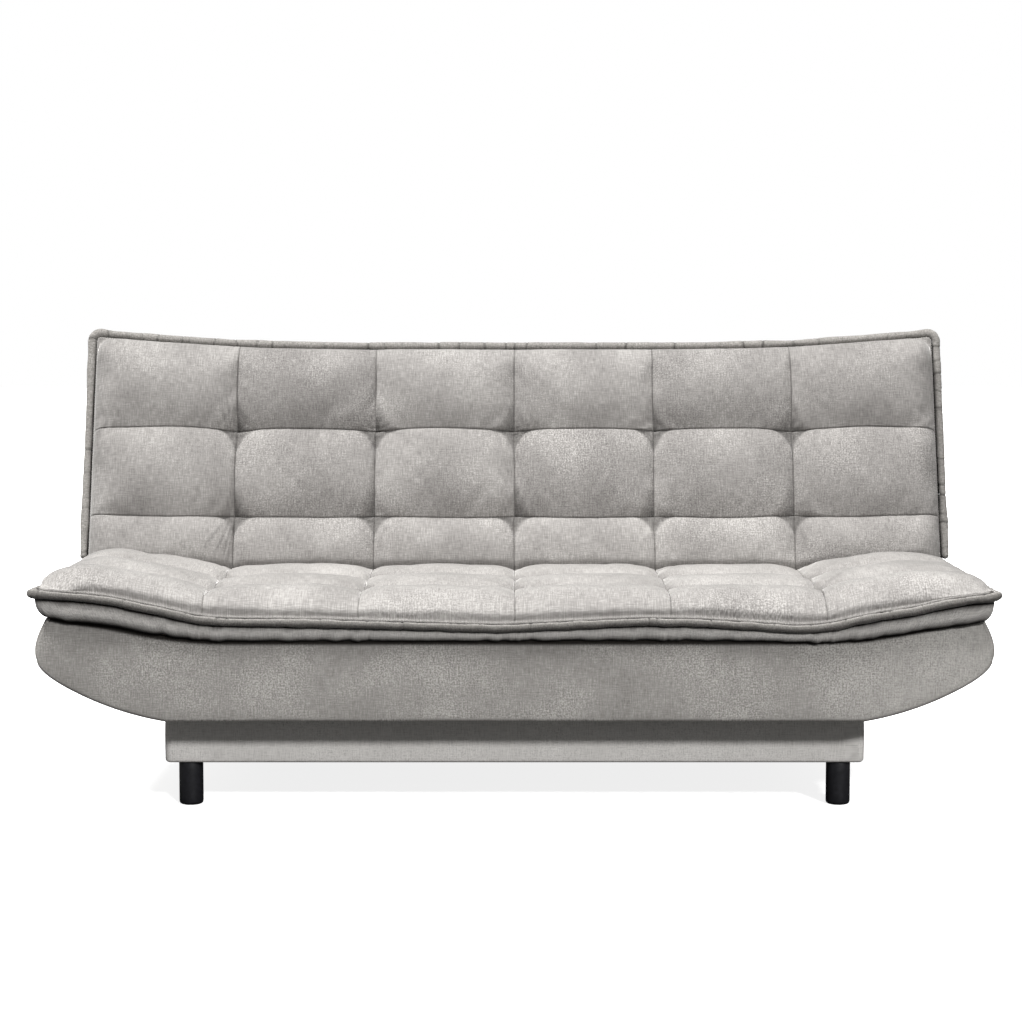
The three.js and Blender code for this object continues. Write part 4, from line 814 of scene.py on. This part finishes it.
    # What is sewn: the seams, the border, and the edge on the hinge side
    seamLine = (nearSeamX < 1e-6) | (nearSeamY < 1e-6)
    held = seamLine | onBorder | (j <= 1) | (z > foldPlane - 0.004) | (toEdge < inset + 0.012)
    # Painted shade along the seams, on the facets, in the wedges and beside the long folds; the nap is painted
    # light or shade on the whole top, with random nap from cell to cell
    seamTone, facetTone = mattress["shadeTones"]
    nearest = np.minimum(nearSeamX, nearSeamY)
    crease = np.maximum(seamTone * bell(nearest, mattress["seamShadeWidth"]), facetTone * facet)
    crease = np.maximum(crease, np.maximum(half["wedgeShade"] * pull, foldShade))
    cellNap = draw.uniform(-1, 1, (columns, 3))[cellX, cellY]
    return SimpleNamespace(
        points=points, plan=np.stack([x, y], -1), flat=np.stack([across, along], -1), held=held, crease=crease,
        nap=half["nap"] + half["cellNap"] * cellNap + 0.12 * softNoise(across, along, 0.22, half["seed"] + 7),
        ruffle=0.9 * draw.uniform(-1, 1, (columns, 3))[cellX, cellY],
        stitch=(seamLine & ~onBorder & (j > 0)) * ease((toEdge - 0.012) / 0.02))


# A stuffed mattress: the rings of its edge and the tufted sheet on top, whose border is one more
# ring. On the cloth the sheet lies as in plan, and the edge goes on from it the way down.
def mattressForm(half):
    grid = cellGrid(half)
    lastI, lastJ = len(grid.across) - 1, len(grid.along) - 1
    upI, upJ = np.arange(lastI), np.arange(lastJ)
    loopI = np.concatenate([upI, 0 * upJ + lastI, lastI - upI, 0 * upJ])
    loopJ = np.concatenate([0 * upI, upJ, 0 * upI + lastJ, lastJ - upJ])
    rings, ringDark, ringLight, outline = edgeRings(grid, half, loopI, loopJ)
    top = topSheet(grid, half, np.random.default_rng(half["seed"]))
    total, count = rings.shape[:2]
    start = total * count
    topFaces = gridFaces(lastI + 1, lastJ + 1)[0]
    topIndex = start + np.arange((lastI + 1) * (lastJ + 1)).reshape(lastI + 1, lastJ + 1)
    ringIndex = np.concatenate([np.arange(start), topIndex[loopI, loopJ]])
    sides = ringIndex[gridFaces(total + 1, count, closed=True)[0][:, [0, 3, 2, 1]]]

    outward = outline - top.plan[loopI, loopJ]
    outward = outward / np.maximum(1e-6, np.linalg.norm(outward, axis=-1, keepdims=True))
    levels = np.concatenate([rings, top.points[loopI, loopJ][None]])
    down = np.linalg.norm(np.diff(levels, axis=0), axis=-1)[::-1].cumsum(0)[::-1]
    flatRings = top.flat[loopI, loopJ][None] + outward[None] * down[..., None]
    return SimpleNamespace(
        start=start, points=np.concatenate([rings.reshape(-1, 3), top.points.reshape(-1, 3)]),
        faces=np.concatenate([sides, topFaces + start]), topFaces=topFaces,
        flat=np.concatenate([flatRings.reshape(-1, 2), top.flat.reshape(-1, 2)]),
        held=top.held.ravel(), stitch=top.stitch.ravel(),
        marks={"crease": np.append(ringDark, top.crease), "nap": np.append(ringLight, top.nap),
               "ruffle": np.append(0 * ringDark, top.ruffle)},
        stitchLine=rings[-2][loopJ > 0])


# Puffs a sheet up with Blender's cloth: pressure under it, no gravity, its sewn points held, and
# a little more cloth than the form needs, so that it wrinkles at its seams
def puff(points, faces, held, values):
    piece = makePiece("puffing", points, faces)
    group = piece.vertex_groups.new(name="sewn")
    group.add(np.flatnonzero(held).tolist(), 1.0, "REPLACE")
    cloth = piece.modifiers.new("puff", "CLOTH")
    settings = cloth.settings
    settings.quality = 5
    settings.use_pressure = True
    settings.uniform_pressure_force = values["pressure"]
    settings.effector_weights.gravity = 0
    settings.vertex_group_mass = "sewn"
    settings.shrink_min = -values["slack"]
    cloth.collision_settings.use_collision = False
    cloth.collision_settings.use_self_collision = False
    cloth.point_cache.frame_start = 1
    cloth.point_cache.frame_end = values["frames"]
    for step in range(1, values["frames"] + 1):
        bpy.context.scene.frame_set(step)
    evaluated = piece.evaluated_get(bpy.context.evaluated_depsgraph_get())
    puffed = evaluated.to_mesh()
    moved = np.zeros(len(puffed.vertices) * 3)
    puffed.vertices.foreach_get("co", moved)
    evaluated.to_mesh_clear()
    sheet = piece.data
    bpy.data.objects.remove(piece)
    bpy.data.meshes.remove(sheet)
    bpy.context.scene.frame_set(1)
    return moved.reshape(-1, 3)


# Each point moves part of the way to the mean of its neighbours
def relax(points, faces, mask, passes, share=0.5):
    a = faces.ravel()
    b = np.roll(faces, -1, 1).ravel()
    total = np.bincount(a, minlength=len(points)) + np.bincount(b, minlength=len(points))
    for _ in range(passes):
        mean = np.stack([
            np.bincount(a, points[b, k], len(points)) + np.bincount(b, points[a, k], len(points))
            for k in range(3)], -1) / np.maximum(1, total)[:, None]
        points = points + (mean - points) * (share * mask)[:, None]
    return points


def makeMattress(name, half, body, node):
    form = mattressForm(half)
    sheet = form.points[form.start:]
    flip = slice(None, None, -1) if half["side"] == "seat" else slice(None)
    moved = unplaceHalf(puff(placeHalf(sheet, half), form.topFaces[:, flip], form.held, mattress), half)
    step = moved - sheet
    length = np.linalg.norm(step, axis=1, keepdims=True)
    far, mean = (round(float(number) * 1000, 1) for number in (length.max(), length.mean()))
    print(name, "puffed by up to", far, "mm, mean", mean)
    sheet = sheet + step * mattress["cap"] * np.tanh(length / mattress["cap"]) / np.maximum(length, 1e-9)
    sheet = relax(sheet, form.topFaces, ~form.held, 2, 0.3)
    # Stitches draw the seams in, and the hinge side stays under the plane of the fold
    sheet = sheet - np.array([0, 0, 1.0]) * (mattress["stitchDepth"] * form.stitch)[:, None]
    sheet[:, 2] = np.minimum(sheet[:, 2], (sheet[:, 1] - 0.0012) * math.tan(sofa["foldAngle"]))
    points = np.concatenate([form.points[:form.start], sheet])
    faces = form.faces[:, flip]
    piece = makePiece(name, placeHalf(points, half), faces, form.flat[faces.ravel()], form.marks, weld=1e-5)
    finishPiece(piece, body, upholstery, [node], subdivide=1)
    return form


seatForm = makeMattress("seatMattress", seat, "base", "seat_mattress")
print("seat mattress made")
backForm = makeMattress("backMattress", back, "backrest", "back_mattress")
print("back mattress made")


piping = {
    "step": 0.0027,
    "sides": 18,
    "endSetback": 0.062,
    "endRound": 0.008,
    "gatherPitch": 0.036,
    "gatherDepth": 0.12,
    "gatherWidth": 0.0017,
    "slant": 0.004,
    "cornerSwell": 0.28,      # it is thicker where it is joined at a corner
    "cornerReach": (0.022, 0.030),
    "thickness": 0.05,        # how much it thickens and thins along its way
    "lumps": 0.04,
    "stitchLength": 0.0052,
    "stitchGap": 0.0005,
    "stitchRadius": 0.0010,
    # A stitch's outline: share of its length, share of its radius, and how far it is sunk in
    "stitchShape": ((0, 0.12, 0.0010), (0.12, 0.75, 0.0002), (0.5, 1.0, -0.0002),
                    (0.88, 0.75, 0.0002), (1.0, 0.12, 0.0010)),
}


# The line of a mattress's sewn edge with even steps: up one end, round a corner, along the far
# edge and back down the other end, drawn in by the inset and raised above the underside
def edgeLine(half, inset, rise, step, setback):
    radius = sofa["cornerRadius"] - inset
    cornerX = sofa["halfWidth"] - sofa["cornerRadius"]
    cornerY = farEdge(sofa["halfWidth"], half) - sofa["cornerRadius"]
    turn = np.linspace(0, np.pi / 2, 24)
    arcX = cornerX + radius * np.cos(turn)
    arcY = farEdge(arcX, half) - sofa["cornerRadius"] + radius * np.sin(turn)
    side = np.linspace(setback, cornerY, 60)[:-1]
    far = np.linspace(cornerX, 0, 200)[1:]
    x = np.concatenate([np.full(len(side), sofa["halfWidth"] - inset), arcX, far])
    y = np.concatenate([side, arcY, farEdge(far, half) - inset])
    x = np.concatenate([x, -x[-2::-1]])
    y = np.concatenate([y, y[-2::-1]])
    line = np.stack([x, y, sofa["underside"] + rise + wingRise(x, half) + edgeWave(x, y, half)], -1)
    way = wayAlong(line)
    even = np.linspace(0, way[-1], int(way[-1] / step) + 1)
    return np.stack([np.interp(even, way, line[:, k]) for k in range(3)], -1), even


# A tube along a line: at each step a ring of the given radii, outwards and up, turned with it
def sweepTube(line, radiusOut, radiusUp, sides):
    tangent = unit(np.gradient(line, axis=0))
    outward = unit(np.cross(tangent, [0, 0, 1.0]))
    upward = np.cross(outward, tangent)
    angle = np.linspace(0, 2 * np.pi, sides, endpoint=False)
    return (line[:, None] + (radiusOut * np.cos(angle))[..., None] * outward[:, None]
            + (radiusUp * np.sin(angle))[..., None] * upward[:, None])


# The piping: a tube along the sewn edge, whose radius falls at each gather and swells beside it,
# at the corners and unevenly along the way, and closes as a quarter ellipse at its ends. Its
# gathers and its underside get painted shade.
def makePiping(name, half, body, node, seed):
    draw = np.random.default_rng(seed)
    line, way = edgeLine(half, sofa["pipingRadius"], sofa["pipingRise"], piping["step"], piping["endSetback"])
    sides = piping["sides"]
    angle = np.linspace(0, 2 * np.pi, sides, endpoint=False)
    # Gathers: narrow folds across the piping at uneven steps, some slanting, and swells between
    pitch = piping["gatherPitch"]
    places = np.cumsum(draw.uniform(0.3, 1.7, int(way[-1] / pitch * 1.1)) * pitch)
    depth = np.ones((len(way), sides))
    fold = np.zeros((len(way), sides))
    for place in places[places < way[-1] - 0.01]:
        slant = draw.uniform(-piping["slant"], piping["slant"])
        width = piping["gatherWidth"] * draw.uniform(0.7, 1.8)
        amount = piping["gatherDepth"] * draw.uniform(0.1, 1.0)
        away = (way[:, None] - place - slant * np.sin(angle + draw.uniform(0, 6))) / width
        pinch = amount * bell(away, 1)
        fold = np.maximum(fold, 6 * pinch)
        depth += amount * 0.3 * bell(np.abs(away) - 2.2, 1.3) - pinch
    # Painted shade: dark in each gather, and on the seat along the underside that faces down
    fold = np.maximum(fold, half["underDark"] * ease((1.0 - np.sin(angle)) / 0.42)[None])
    depth += piping["lumps"] * softNoise(way[:, None], np.sin(angle)[None] * 0.02, 0.06, seed)
    depth += piping["thickness"] * softNoise(way, 0 * way, 0.21, seed + 1)[:, None]
    reachX, reachY = piping["cornerReach"]
    atCorner = bell(np.abs(line[:, 0]) - 0.966, reachX) * bell(line[:, 1] - half["reach"] + 0.01, reachY)
    depth += piping["cornerSwell"] * atCorner[:, None]
    ends = np.minimum(way, way[-1] - way) / piping["endRound"]
    taper = np.sqrt(np.clip(1 - (1 - np.clip(ends, 0, 1)) ** 2, 0.0004, 1))[:, None]
    radius = sofa["pipingRadius"]
    rings = sweepTube(
        line, radius * np.minimum(depth, 1.3) * taper, radius * half["pipingHigh"] * depth * taper, sides)
    faces, steps = gridFaces(len(way), sides, closed=True)
    uv = np.stack([way[steps[..., 0]], steps[..., 1] * 2 * np.pi * radius / sides + 0.4], -1)
    placed = placeHalf(rings, half)
    points = np.concatenate([placed.reshape(-1, 3), placed[[0, -1]].mean(1)])
    # Each end closes with a fan of triangles to its middle
    around = np.arange(sides)
    following, lastRing = (around + 1) % sides, (len(way) - 1) * sides
    first, last = np.full_like(around, len(points) - 2), np.full_like(around, len(points) - 1)
    caps = np.concatenate([
        np.stack([first, following, around], -1),
        np.stack([last, lastRing + around, lastRing + following], -1)])
    if half["side"] == "seat":
        faces, uv, caps = faces[:, ::-1], uv[:, ::-1], caps[:, ::-1]
    cornerUv = np.concatenate([uv.reshape(-1, 2), np.zeros((caps.size, 2))])
    crease = np.append(np.clip(fold, 0, 0.8), [0, 0])
    piece = makePiece(name, points, [*faces, *caps], cornerUv, {"crease": crease})
    return finishPiece(piece, body, pipingCloth, [node])


makePiping("seatPiping", seat, "base", "seat_piping", 11)
makePiping("backPiping", back, "backrest", "back_piping", 12)
print("piping made")


# The top stitching above the piping: short bars of thread, each a spindle of six sides, laid end
# to end along the sewn edge with a gap between them
def makeStitches(name, half, form, body):
    line = form.stitchLine
    way = wayAlong(line)
    share, thick, sink = np.array(piping["stitchShape"]).T
    starts = np.arange(0.01, way[-1] - 0.02, piping["stitchLength"] + piping["stitchGap"])
    places = starts[:, None] + share * piping["stitchLength"]
    centre = np.stack([np.interp(places, way, line[:, k]) for k in range(3)], -1)
    upward = np.array([0, 0, 1.0])
    outward = unit(np.cross(unit(np.gradient(centre, axis=1)), upward))
    middle = np.array([0, half["reach"] / 2, 0])
    outward *= np.sign(np.sum(outward * (centre - middle), axis=2, keepdims=True))
    centre = centre + outward * (0.0003 - sink)[None, :, None]
    sides, rings = 6, len(share)
    angle = np.linspace(0, 2 * np.pi, sides, endpoint=False)
    points = centre[:, :, None] + (thick * piping["stitchRadius"])[None, :, None, None] * (
        np.cos(angle)[:, None] * outward[:, :, None] + np.sin(angle)[:, None] * upward)
    tube = gridFaces(rings, sides, closed=True)[0]
    ends = np.stack([np.arange(sides)[::-1], (rings - 1) * sides + np.arange(sides)])
    offsets = np.arange(len(starts))[:, None, None] * rings * sides
    piece = makePiece(name, placeHalf(points, half), [
        *(tube + offsets).reshape(-1, 4), *(ends + offsets).reshape(-1, sides)])
    faceOutwards(piece)
    return finishPiece(piece, body, plainMaterials["sewingThread"])


makeStitches("seatTopStitch", seat, seatForm, "base")
makeStitches("backTopStitch", back, backForm, "backrest")
print("top stitches made")


# The long covers of the seat base and the back frame, as the CAD source has them
seatShell = {
    "halfWidth": 0.967, "halfFlat": 0.707, "halfMouth": 0.947, "top": -0.0516, "depth": 0.1595,
    "bilgeInset": 0.068, "bilgeHeight": 0.065, "bilgeTop": 0.127, "bilgeBulge": 0.0165,
    "edgeRadius": 0.008, "near": 0.016, "far": 0.574, "raise": 0.0092, "bulge": 0.0030, "belly": 0.0095,
    "endLight": 0.75,           # painted light: how much lighter the cover is towards the right end
    "slot": (0.5946, 0.6086, 0.0555),   # a hinge's plates pass the near wall: from X, to X, above the floor
}
backShell = {
    "halfWidth": 0.954, "halfFlat": 0.895, "halfMouth": 0.952, "top": -0.0516, "depth": 0.058,
    "bilgeInset": 0.022, "bilgeHeight": 0.007, "bilgeTop": 0.040, "bilgeBulge": 0.001,
    "edgeRadius": 0.016, "near": 0.020, "far": 0.556, "raise": 0.0092, "bulge": 0.0020, "belly": 0.0006,
    "endLight": 0.0, "slot": None,
}
shellRipple = 0.0006          # how uneven the stretched cloth is
shadeUnderRoll = (0.0155, 0.0085, 0.25, 0.012)   # painted shade under the roll: depth, fade, and tone and depth of the rest


# Points of a quadratic curve from a to c that b draws towards itself
def quadratic(a, b, c, count):
    t = np.linspace(0, 1, count)[:, None]
    return (1 - t) ** 2 * a + 2 * t * (1 - t) * b + t ** 2 * c


# The rim follows the raised ends, and the roll that hangs down over it there
def rimHeight(x, shell, half):
    sag = 0.55 * rollSag(x, half) * ease((np.abs(x) - 0.62) / 0.1)
    return shell["top"] + shell["raise"] + wingRise(x, half) - sag


# A tray's outline from one rim down round its floor to the other, in X and Z, drawn in by the
# inset along its normals
def trayOutline(shell, half, inset):
    bottom = shell["top"] - shell["depth"]
    flatEnd = np.array([shell["halfFlat"], bottom])
    bilge = np.array([shell["halfWidth"] - shell["bilgeInset"], bottom + shell["bilgeHeight"]])
    chord = bilge - flatEnd
    outward = np.array([chord[1], -chord[0]]) / np.linalg.norm(chord)
    belly = (flatEnd + bilge) / 2 + outward * shell["bilgeBulge"]
    slope = (bilge[1] - belly[1]) / (bilge[0] - belly[0])
    knee = np.array([shell["halfWidth"], bilge[1] + shell["bilgeInset"] * slope])
    upright = np.array([shell["halfWidth"], bottom + shell["bilgeTop"]])
    rim = np.array([shell["halfMouth"], rimHeight(shell["halfMouth"], shell, half)])
    slotSides = shell["slot"][:2] if shell["slot"] else []
    flat = np.unique(np.concatenate([np.linspace(0, shell["halfFlat"], 57), slotSides]))
    flat = np.stack([flat, np.full(len(flat), bottom)], -1)
    # Above the bilge the end bulges a little on its way up to the rim
    wall = np.linspace(0, 1, 22)[:, None]
    side = upright + (rim - upright) * wall + np.array([shell["belly"], 0]) * np.sin(np.pi * wall ** 0.8)
    right = np.concatenate([
        flat[:-1], quadratic(flatEnd, belly, bilge, 26)[:-1], quadratic(bilge, knee, upright, 22)[:-1], side])
    # The tangents are smoothed, so that the inset outline doesn't fold over itself where it turns
    tangent = unit(np.gradient(right, axis=0))
    window = np.hanning(11) / np.hanning(11).sum()
    tangent = np.stack([
        np.convolve(np.pad(tangent[:, k], 5, mode="edge"), window, mode="valid") for k in range(2)], -1)
    inward = unit(np.stack([-tangent[:, 1], tangent[:, 0]], -1))
    inward[0] = (0, 1)
    right = right + inward * inset
    right[-1, 1] = rim[1]
    return np.concatenate([right[:0:-1] * [-1, 1], right])


# A cover stretched over a tray: the outline carried from the near to the far side, with a
# quarter round along both edges, and end faces of straight lines from the outline up to the rim,
# bulged like a shallow cushion. A slot is left out of the near face for each hinge.
def makeShell(name, shell, half, body, node):
    edge, halfWidth = shell["edgeRadius"], shell["halfWidth"]
    layers = [(trayOutline(shell, half, edge * (1 - math.sin(turn))), edge * (1 - math.cos(turn)))
              for turn in np.radians([0, 18, 36, 54, 72, 90])]
    face, wall = layers[0][0], layers[-1][0]
    rimX = np.clip(face[:, 0], -(shell["halfMouth"] - edge), shell["halfMouth"] - edge)
    rim = np.stack([rimX, rimHeight(rimX, shell, half)], -1)
    bottom = shell["top"] - shell["depth"]
    floorZ, rimZ = bottom + edge, shell["top"] + shell["raise"]
    shares = np.append(np.linspace(0, 1, 17), [0.98, 0.965, 0.95, 0.92, 0.90])
    if shell["slot"]:
        shares = np.append(shares, (shell["slot"][2] + bottom - floorZ) / (rimZ - floorZ))
    shares = np.unique(shares)[::-1]

    # The rows of an end face from the rim down, and round its edge to the wall: outline, distance
    # from the hinge line, and whether the row is on the face
    def faceRows(side, sign):
        rows = []
        for t in shares:
            plan = face + (rim - face) * t
            toEnd = np.clip((halfWidth - np.abs(plan[:, 0])) / 0.1, 0, 1)
            bulge = shell["bulge"] * np.sin(np.pi * t) ** 0.7 * toEnd
            ripple = shellRipple * softNoise(plan[:, 0], plan[:, 1], 0.21, 3) * np.sin(np.pi * t)
            rows.append((plan, side - sign * (bulge + ripple), True))
        return rows + [(outline, side + sign * setback, False) for outline, setback in layers[1:]]

    wallRows = []
    for y in np.linspace(shell["near"] + edge, shell["far"] - edge, 40)[1:-1]:
        ripple = shellRipple * softNoise(wall[:, 0], wall[:, 1] + y, 0.3, 4)
        ripple = ripple * (np.abs(wall[:, 0]) < shell["halfFlat"])
        wallRows.append((wall + np.stack([0 * ripple, ripple], -1), y, False))
    rows = faceRows(shell["near"], 1) + wallRows + faceRows(shell["far"], -1)[::-1]
    points = np.stack([np.stack([plan[:, 0], y + 0 * plan[:, 0], plan[:, 1]], -1) for plan, y, _ in rows])
    faces, steps = gridFaces(len(rows), len(wall))

    # The cloth lies flat on the end faces, and along the outline on the wall
    way = wayAlong(wall)
    onFace = np.array([row[2] for row in rows])
    wallUv = np.stack([np.broadcast_to(way, points.shape[:2]), points[..., 1]], -1)
    apart = np.where(np.arange(len(rows)) > len(rows) / 2, 3.0, 0)   # the far face's cloth lies elsewhere
    faceUv = points[..., [0, 2]] + apart[:, None, None] * [0, 1]
    row, column = steps[..., 0], steps[..., 1]
    wholeFace = onFace[row[:, :1]] & onFace[row[:, 1:2]]
    cornerUv = np.where(wholeFace[..., None], faceUv[row, column], wallUv[row, column])
    keep = np.ones(len(faces), bool)
    if shell["slot"]:
        fromX, toX, above = shell["slot"]
        x, y, z = points.reshape(-1, 3)[faces].mean(1).T
        keep = ~((np.abs(x) > fromX) & (np.abs(x) < toX) & (z > above + bottom) & (y < shell["near"] + 0.01))
    # Painted shade along the sewn edge, and on the face under the mattress's roll, fading down from it; painted
    # light towards the right end
    crease = np.zeros(points.shape[:2])
    sewn = len(shares) + 1
    crease[[sewn, -1 - sewn]] = 0.30
    below = (1 - shares) * (rimZ - floorZ)
    depth, fade, tone, further = shadeUnderRoll
    dark = np.maximum(ease((depth - below) / fade), tone * np.exp(-below / further))[:, None]
    crease[:len(shares)] = dark
    crease[-len(shares):] = dark[::-1]
    nap = shell["endLight"] * ease((points[..., 0] - 0.5) / 0.45)
    faces, cornerUv = faces[keep], cornerUv[keep]
    if half["side"] == "seat":
        faces, cornerUv = faces[:, ::-1], cornerUv[:, ::-1]
    marks = {"crease": crease, "nap": nap}
    piece = makePiece(name, placeHalf(points, half), faces, cornerUv, marks, weld=2e-5)
    faceOutwards(piece, 1 if half["side"] == "back" else -1)
    # The seat's long cover gets the lighter copy of the cloth, as painted light
    cloth = litShellCloth if half["side"] == "seat" else upholstery
    return finishPiece(piece, body, cloth, [node], wall=sofa["coverWall"])


makeShell("seatBaseCover", seatShell, seat, "base", "seat_base_cover")
makeShell("backFrameCover", backShell, back, "backrest", "back_cover")
print("long covers made")


plinth = {
    "halfWidth": 0.723, "front": -0.3036, "rear": 0.3904, "bottom": 0.0911, "top": 0.1915,
    "cornerRadius": 0.014, "foldRadius": 0.006, "foldReach": 0.016, "bulge": 0.0012, "ripple": 0.0007,
}


# The plinth's cloth: a rounded rectangle carried up a profile that starts under the board, rolls
# round its lower edge and rises with a slight belly
def makePlinth(name, body, node):
    r, middleX = plinth["cornerRadius"], plinth["halfWidth"] - plinth["cornerRadius"]
    corners = [(middleX, plinth["front"] + r, -np.pi / 2), (middleX, plinth["rear"] - r, 0),
               (-middleX, plinth["rear"] - r, np.pi / 2), (-middleX, plinth["front"] + r, np.pi)]
    turn = np.linspace(0, np.pi / 2, 9)[:-1]
    t = np.linspace(0, 1, 60)[:-1, None]
    outline, normals = [], []
    for (x, y, start), (nextX, nextY, nextStart) in zip(corners, corners[1:] + corners[:1]):
        normal = np.stack([np.cos(start + turn), np.sin(start + turn)], -1)
        side = np.array([math.cos(start + np.pi / 2), math.sin(start + np.pi / 2)])
        sideStart = np.array([x, y]) + r * side
        sideEnd = np.array([nextX, nextY]) + r * np.array([math.cos(nextStart), math.sin(nextStart)])
        outline += [[x, y] + r * normal, sideStart + (sideEnd - sideStart) * t]
        normals += [normal, side + 0 * t]
    outline, normals = np.concatenate(outline), np.concatenate(normals)
    way = wayAlong(outline)
    fold, low, high = plinth["foldRadius"], plinth["bottom"], plinth["top"]
    bend = np.linspace(-np.pi / 2, 0, 7)
    rise = np.linspace(low + fold, high, 15)[1:]
    profile = np.concatenate([
        [[plinth["foldReach"], low], [fold * 1.4, low]],
        np.stack([fold - fold * np.cos(bend), low + fold + fold * np.sin(bend)], -1),
        np.stack([0 * rise, rise], -1)])
    share = np.clip((profile[:, 1:] - low) / (high - low), 0, 1)
    inset = profile[:, :1] - plinth["bulge"] * np.sin(np.pi * share) ** 0.8
    ripple = plinth["ripple"] * softNoise(way, 0 * way, 0.16, 8)[None] * (1 - share)
    inset = inset + ripple * np.clip(1 - profile[:, :1] / fold, 0, 1)
    x, y = np.moveaxis(outline - normals * inset[..., None], -1, 0)
    points = np.stack([x, y, profile[:, 1:] + 0 * x], -1)
    faces, steps = gridFaces(len(profile), len(outline), closed=True)
    around, down = np.append(way, way[-1] + 0.002), wayAlong(profile)
    cornerUv = np.stack([around[steps[..., 1]], down[steps[..., 0]]], -1)
    piece = makePiece(name, points, faces[:, ::-1], cornerUv[:, ::-1])
    return finishPiece(piece, body, litPlinthCloth, [node], wall=sofa["coverWall"])


makePlinth("plinthCover", "base", "plinth_cover")

foot = {
    # radius and height of the turned outline, from the middle of the sole up to the stud
    "outline": ((0.0, 0.0006), (0.0185, 0.0006), (0.0192, 0.0), (0.0195, 0.0), (0.0215, 0.0007),
                (0.0235, 0.0022), (0.0246, 0.0043), (0.0250, 0.0070), (0.0250, 0.0180), (0.0250, 0.0420),
                (0.0250, 0.0660), (0.0250, 0.0890), (0.0247, 0.0902), (0.0240, 0.0908), (0.0060, 0.0908),
                (0.0056, 0.0912), (0.0040, 0.0915), (0.0040, 0.1185), (0.0, 0.1190)),
    "halfSpacing": 0.673,
    "rows": {"front": -0.2716, "rear": 0.3304},
    "segments": 96,
}


# A moulded foot: the outline turned about its upright axis
def makeFoot(name, x, y, node):
    outline = np.array(foot["outline"])
    angle = np.linspace(0, 2 * np.pi, foot["segments"], endpoint=False)
    points = np.stack([
        x + outline[:, :1] * np.cos(angle), y + outline[:, :1] * np.sin(angle), outline[:, 1:] + 0 * angle], -1)
    faces, _ = gridFaces(len(outline), len(angle), closed=True)
    piece = makePiece(name, points, faces[:, ::-1], weld=1e-6)
    return finishPiece(piece, "base", plainMaterials["mouldedPlastic"], [node])


for row, y in foot["rows"].items():
    for side, x in (("left", -foot["halfSpacing"]), ("right", foot["halfSpacing"])):
        makeFoot(f"moulded_foot_{row}_{side}", x, y, f"foot_{row}_{side}")
print("plinth cover and feet made")


# CAD nodes that stay, with their finishes
finishes = {
    "beech": ["slat"],
    "pineBoard": ["board", "rail", "end_left", "end_right", "cross", "block", "stile", "deck"],
    "plywoodSheet": ["panel", "floor_board"],
    "paintedSteel": ["hinge_seat_arm", "hinge_back_arm", "hinge_pivot", "hinge_pawl", "hinge_spring"],
    "mouldedPlastic": ["foot_front", "foot_rear"],
    "spunbondCloth": ["dust_sheet"],
}
for nodeName, node in frame["nodes"].items():
    node.data.materials.clear()
    for finish, words in finishes.items():
        if any(word in nodeName for word in words):
            chosen = plainMaterials[finish]
            break
    else:
        chosen = upholstery
    node.data.materials.append(chosen)
print("frame nodes finished")
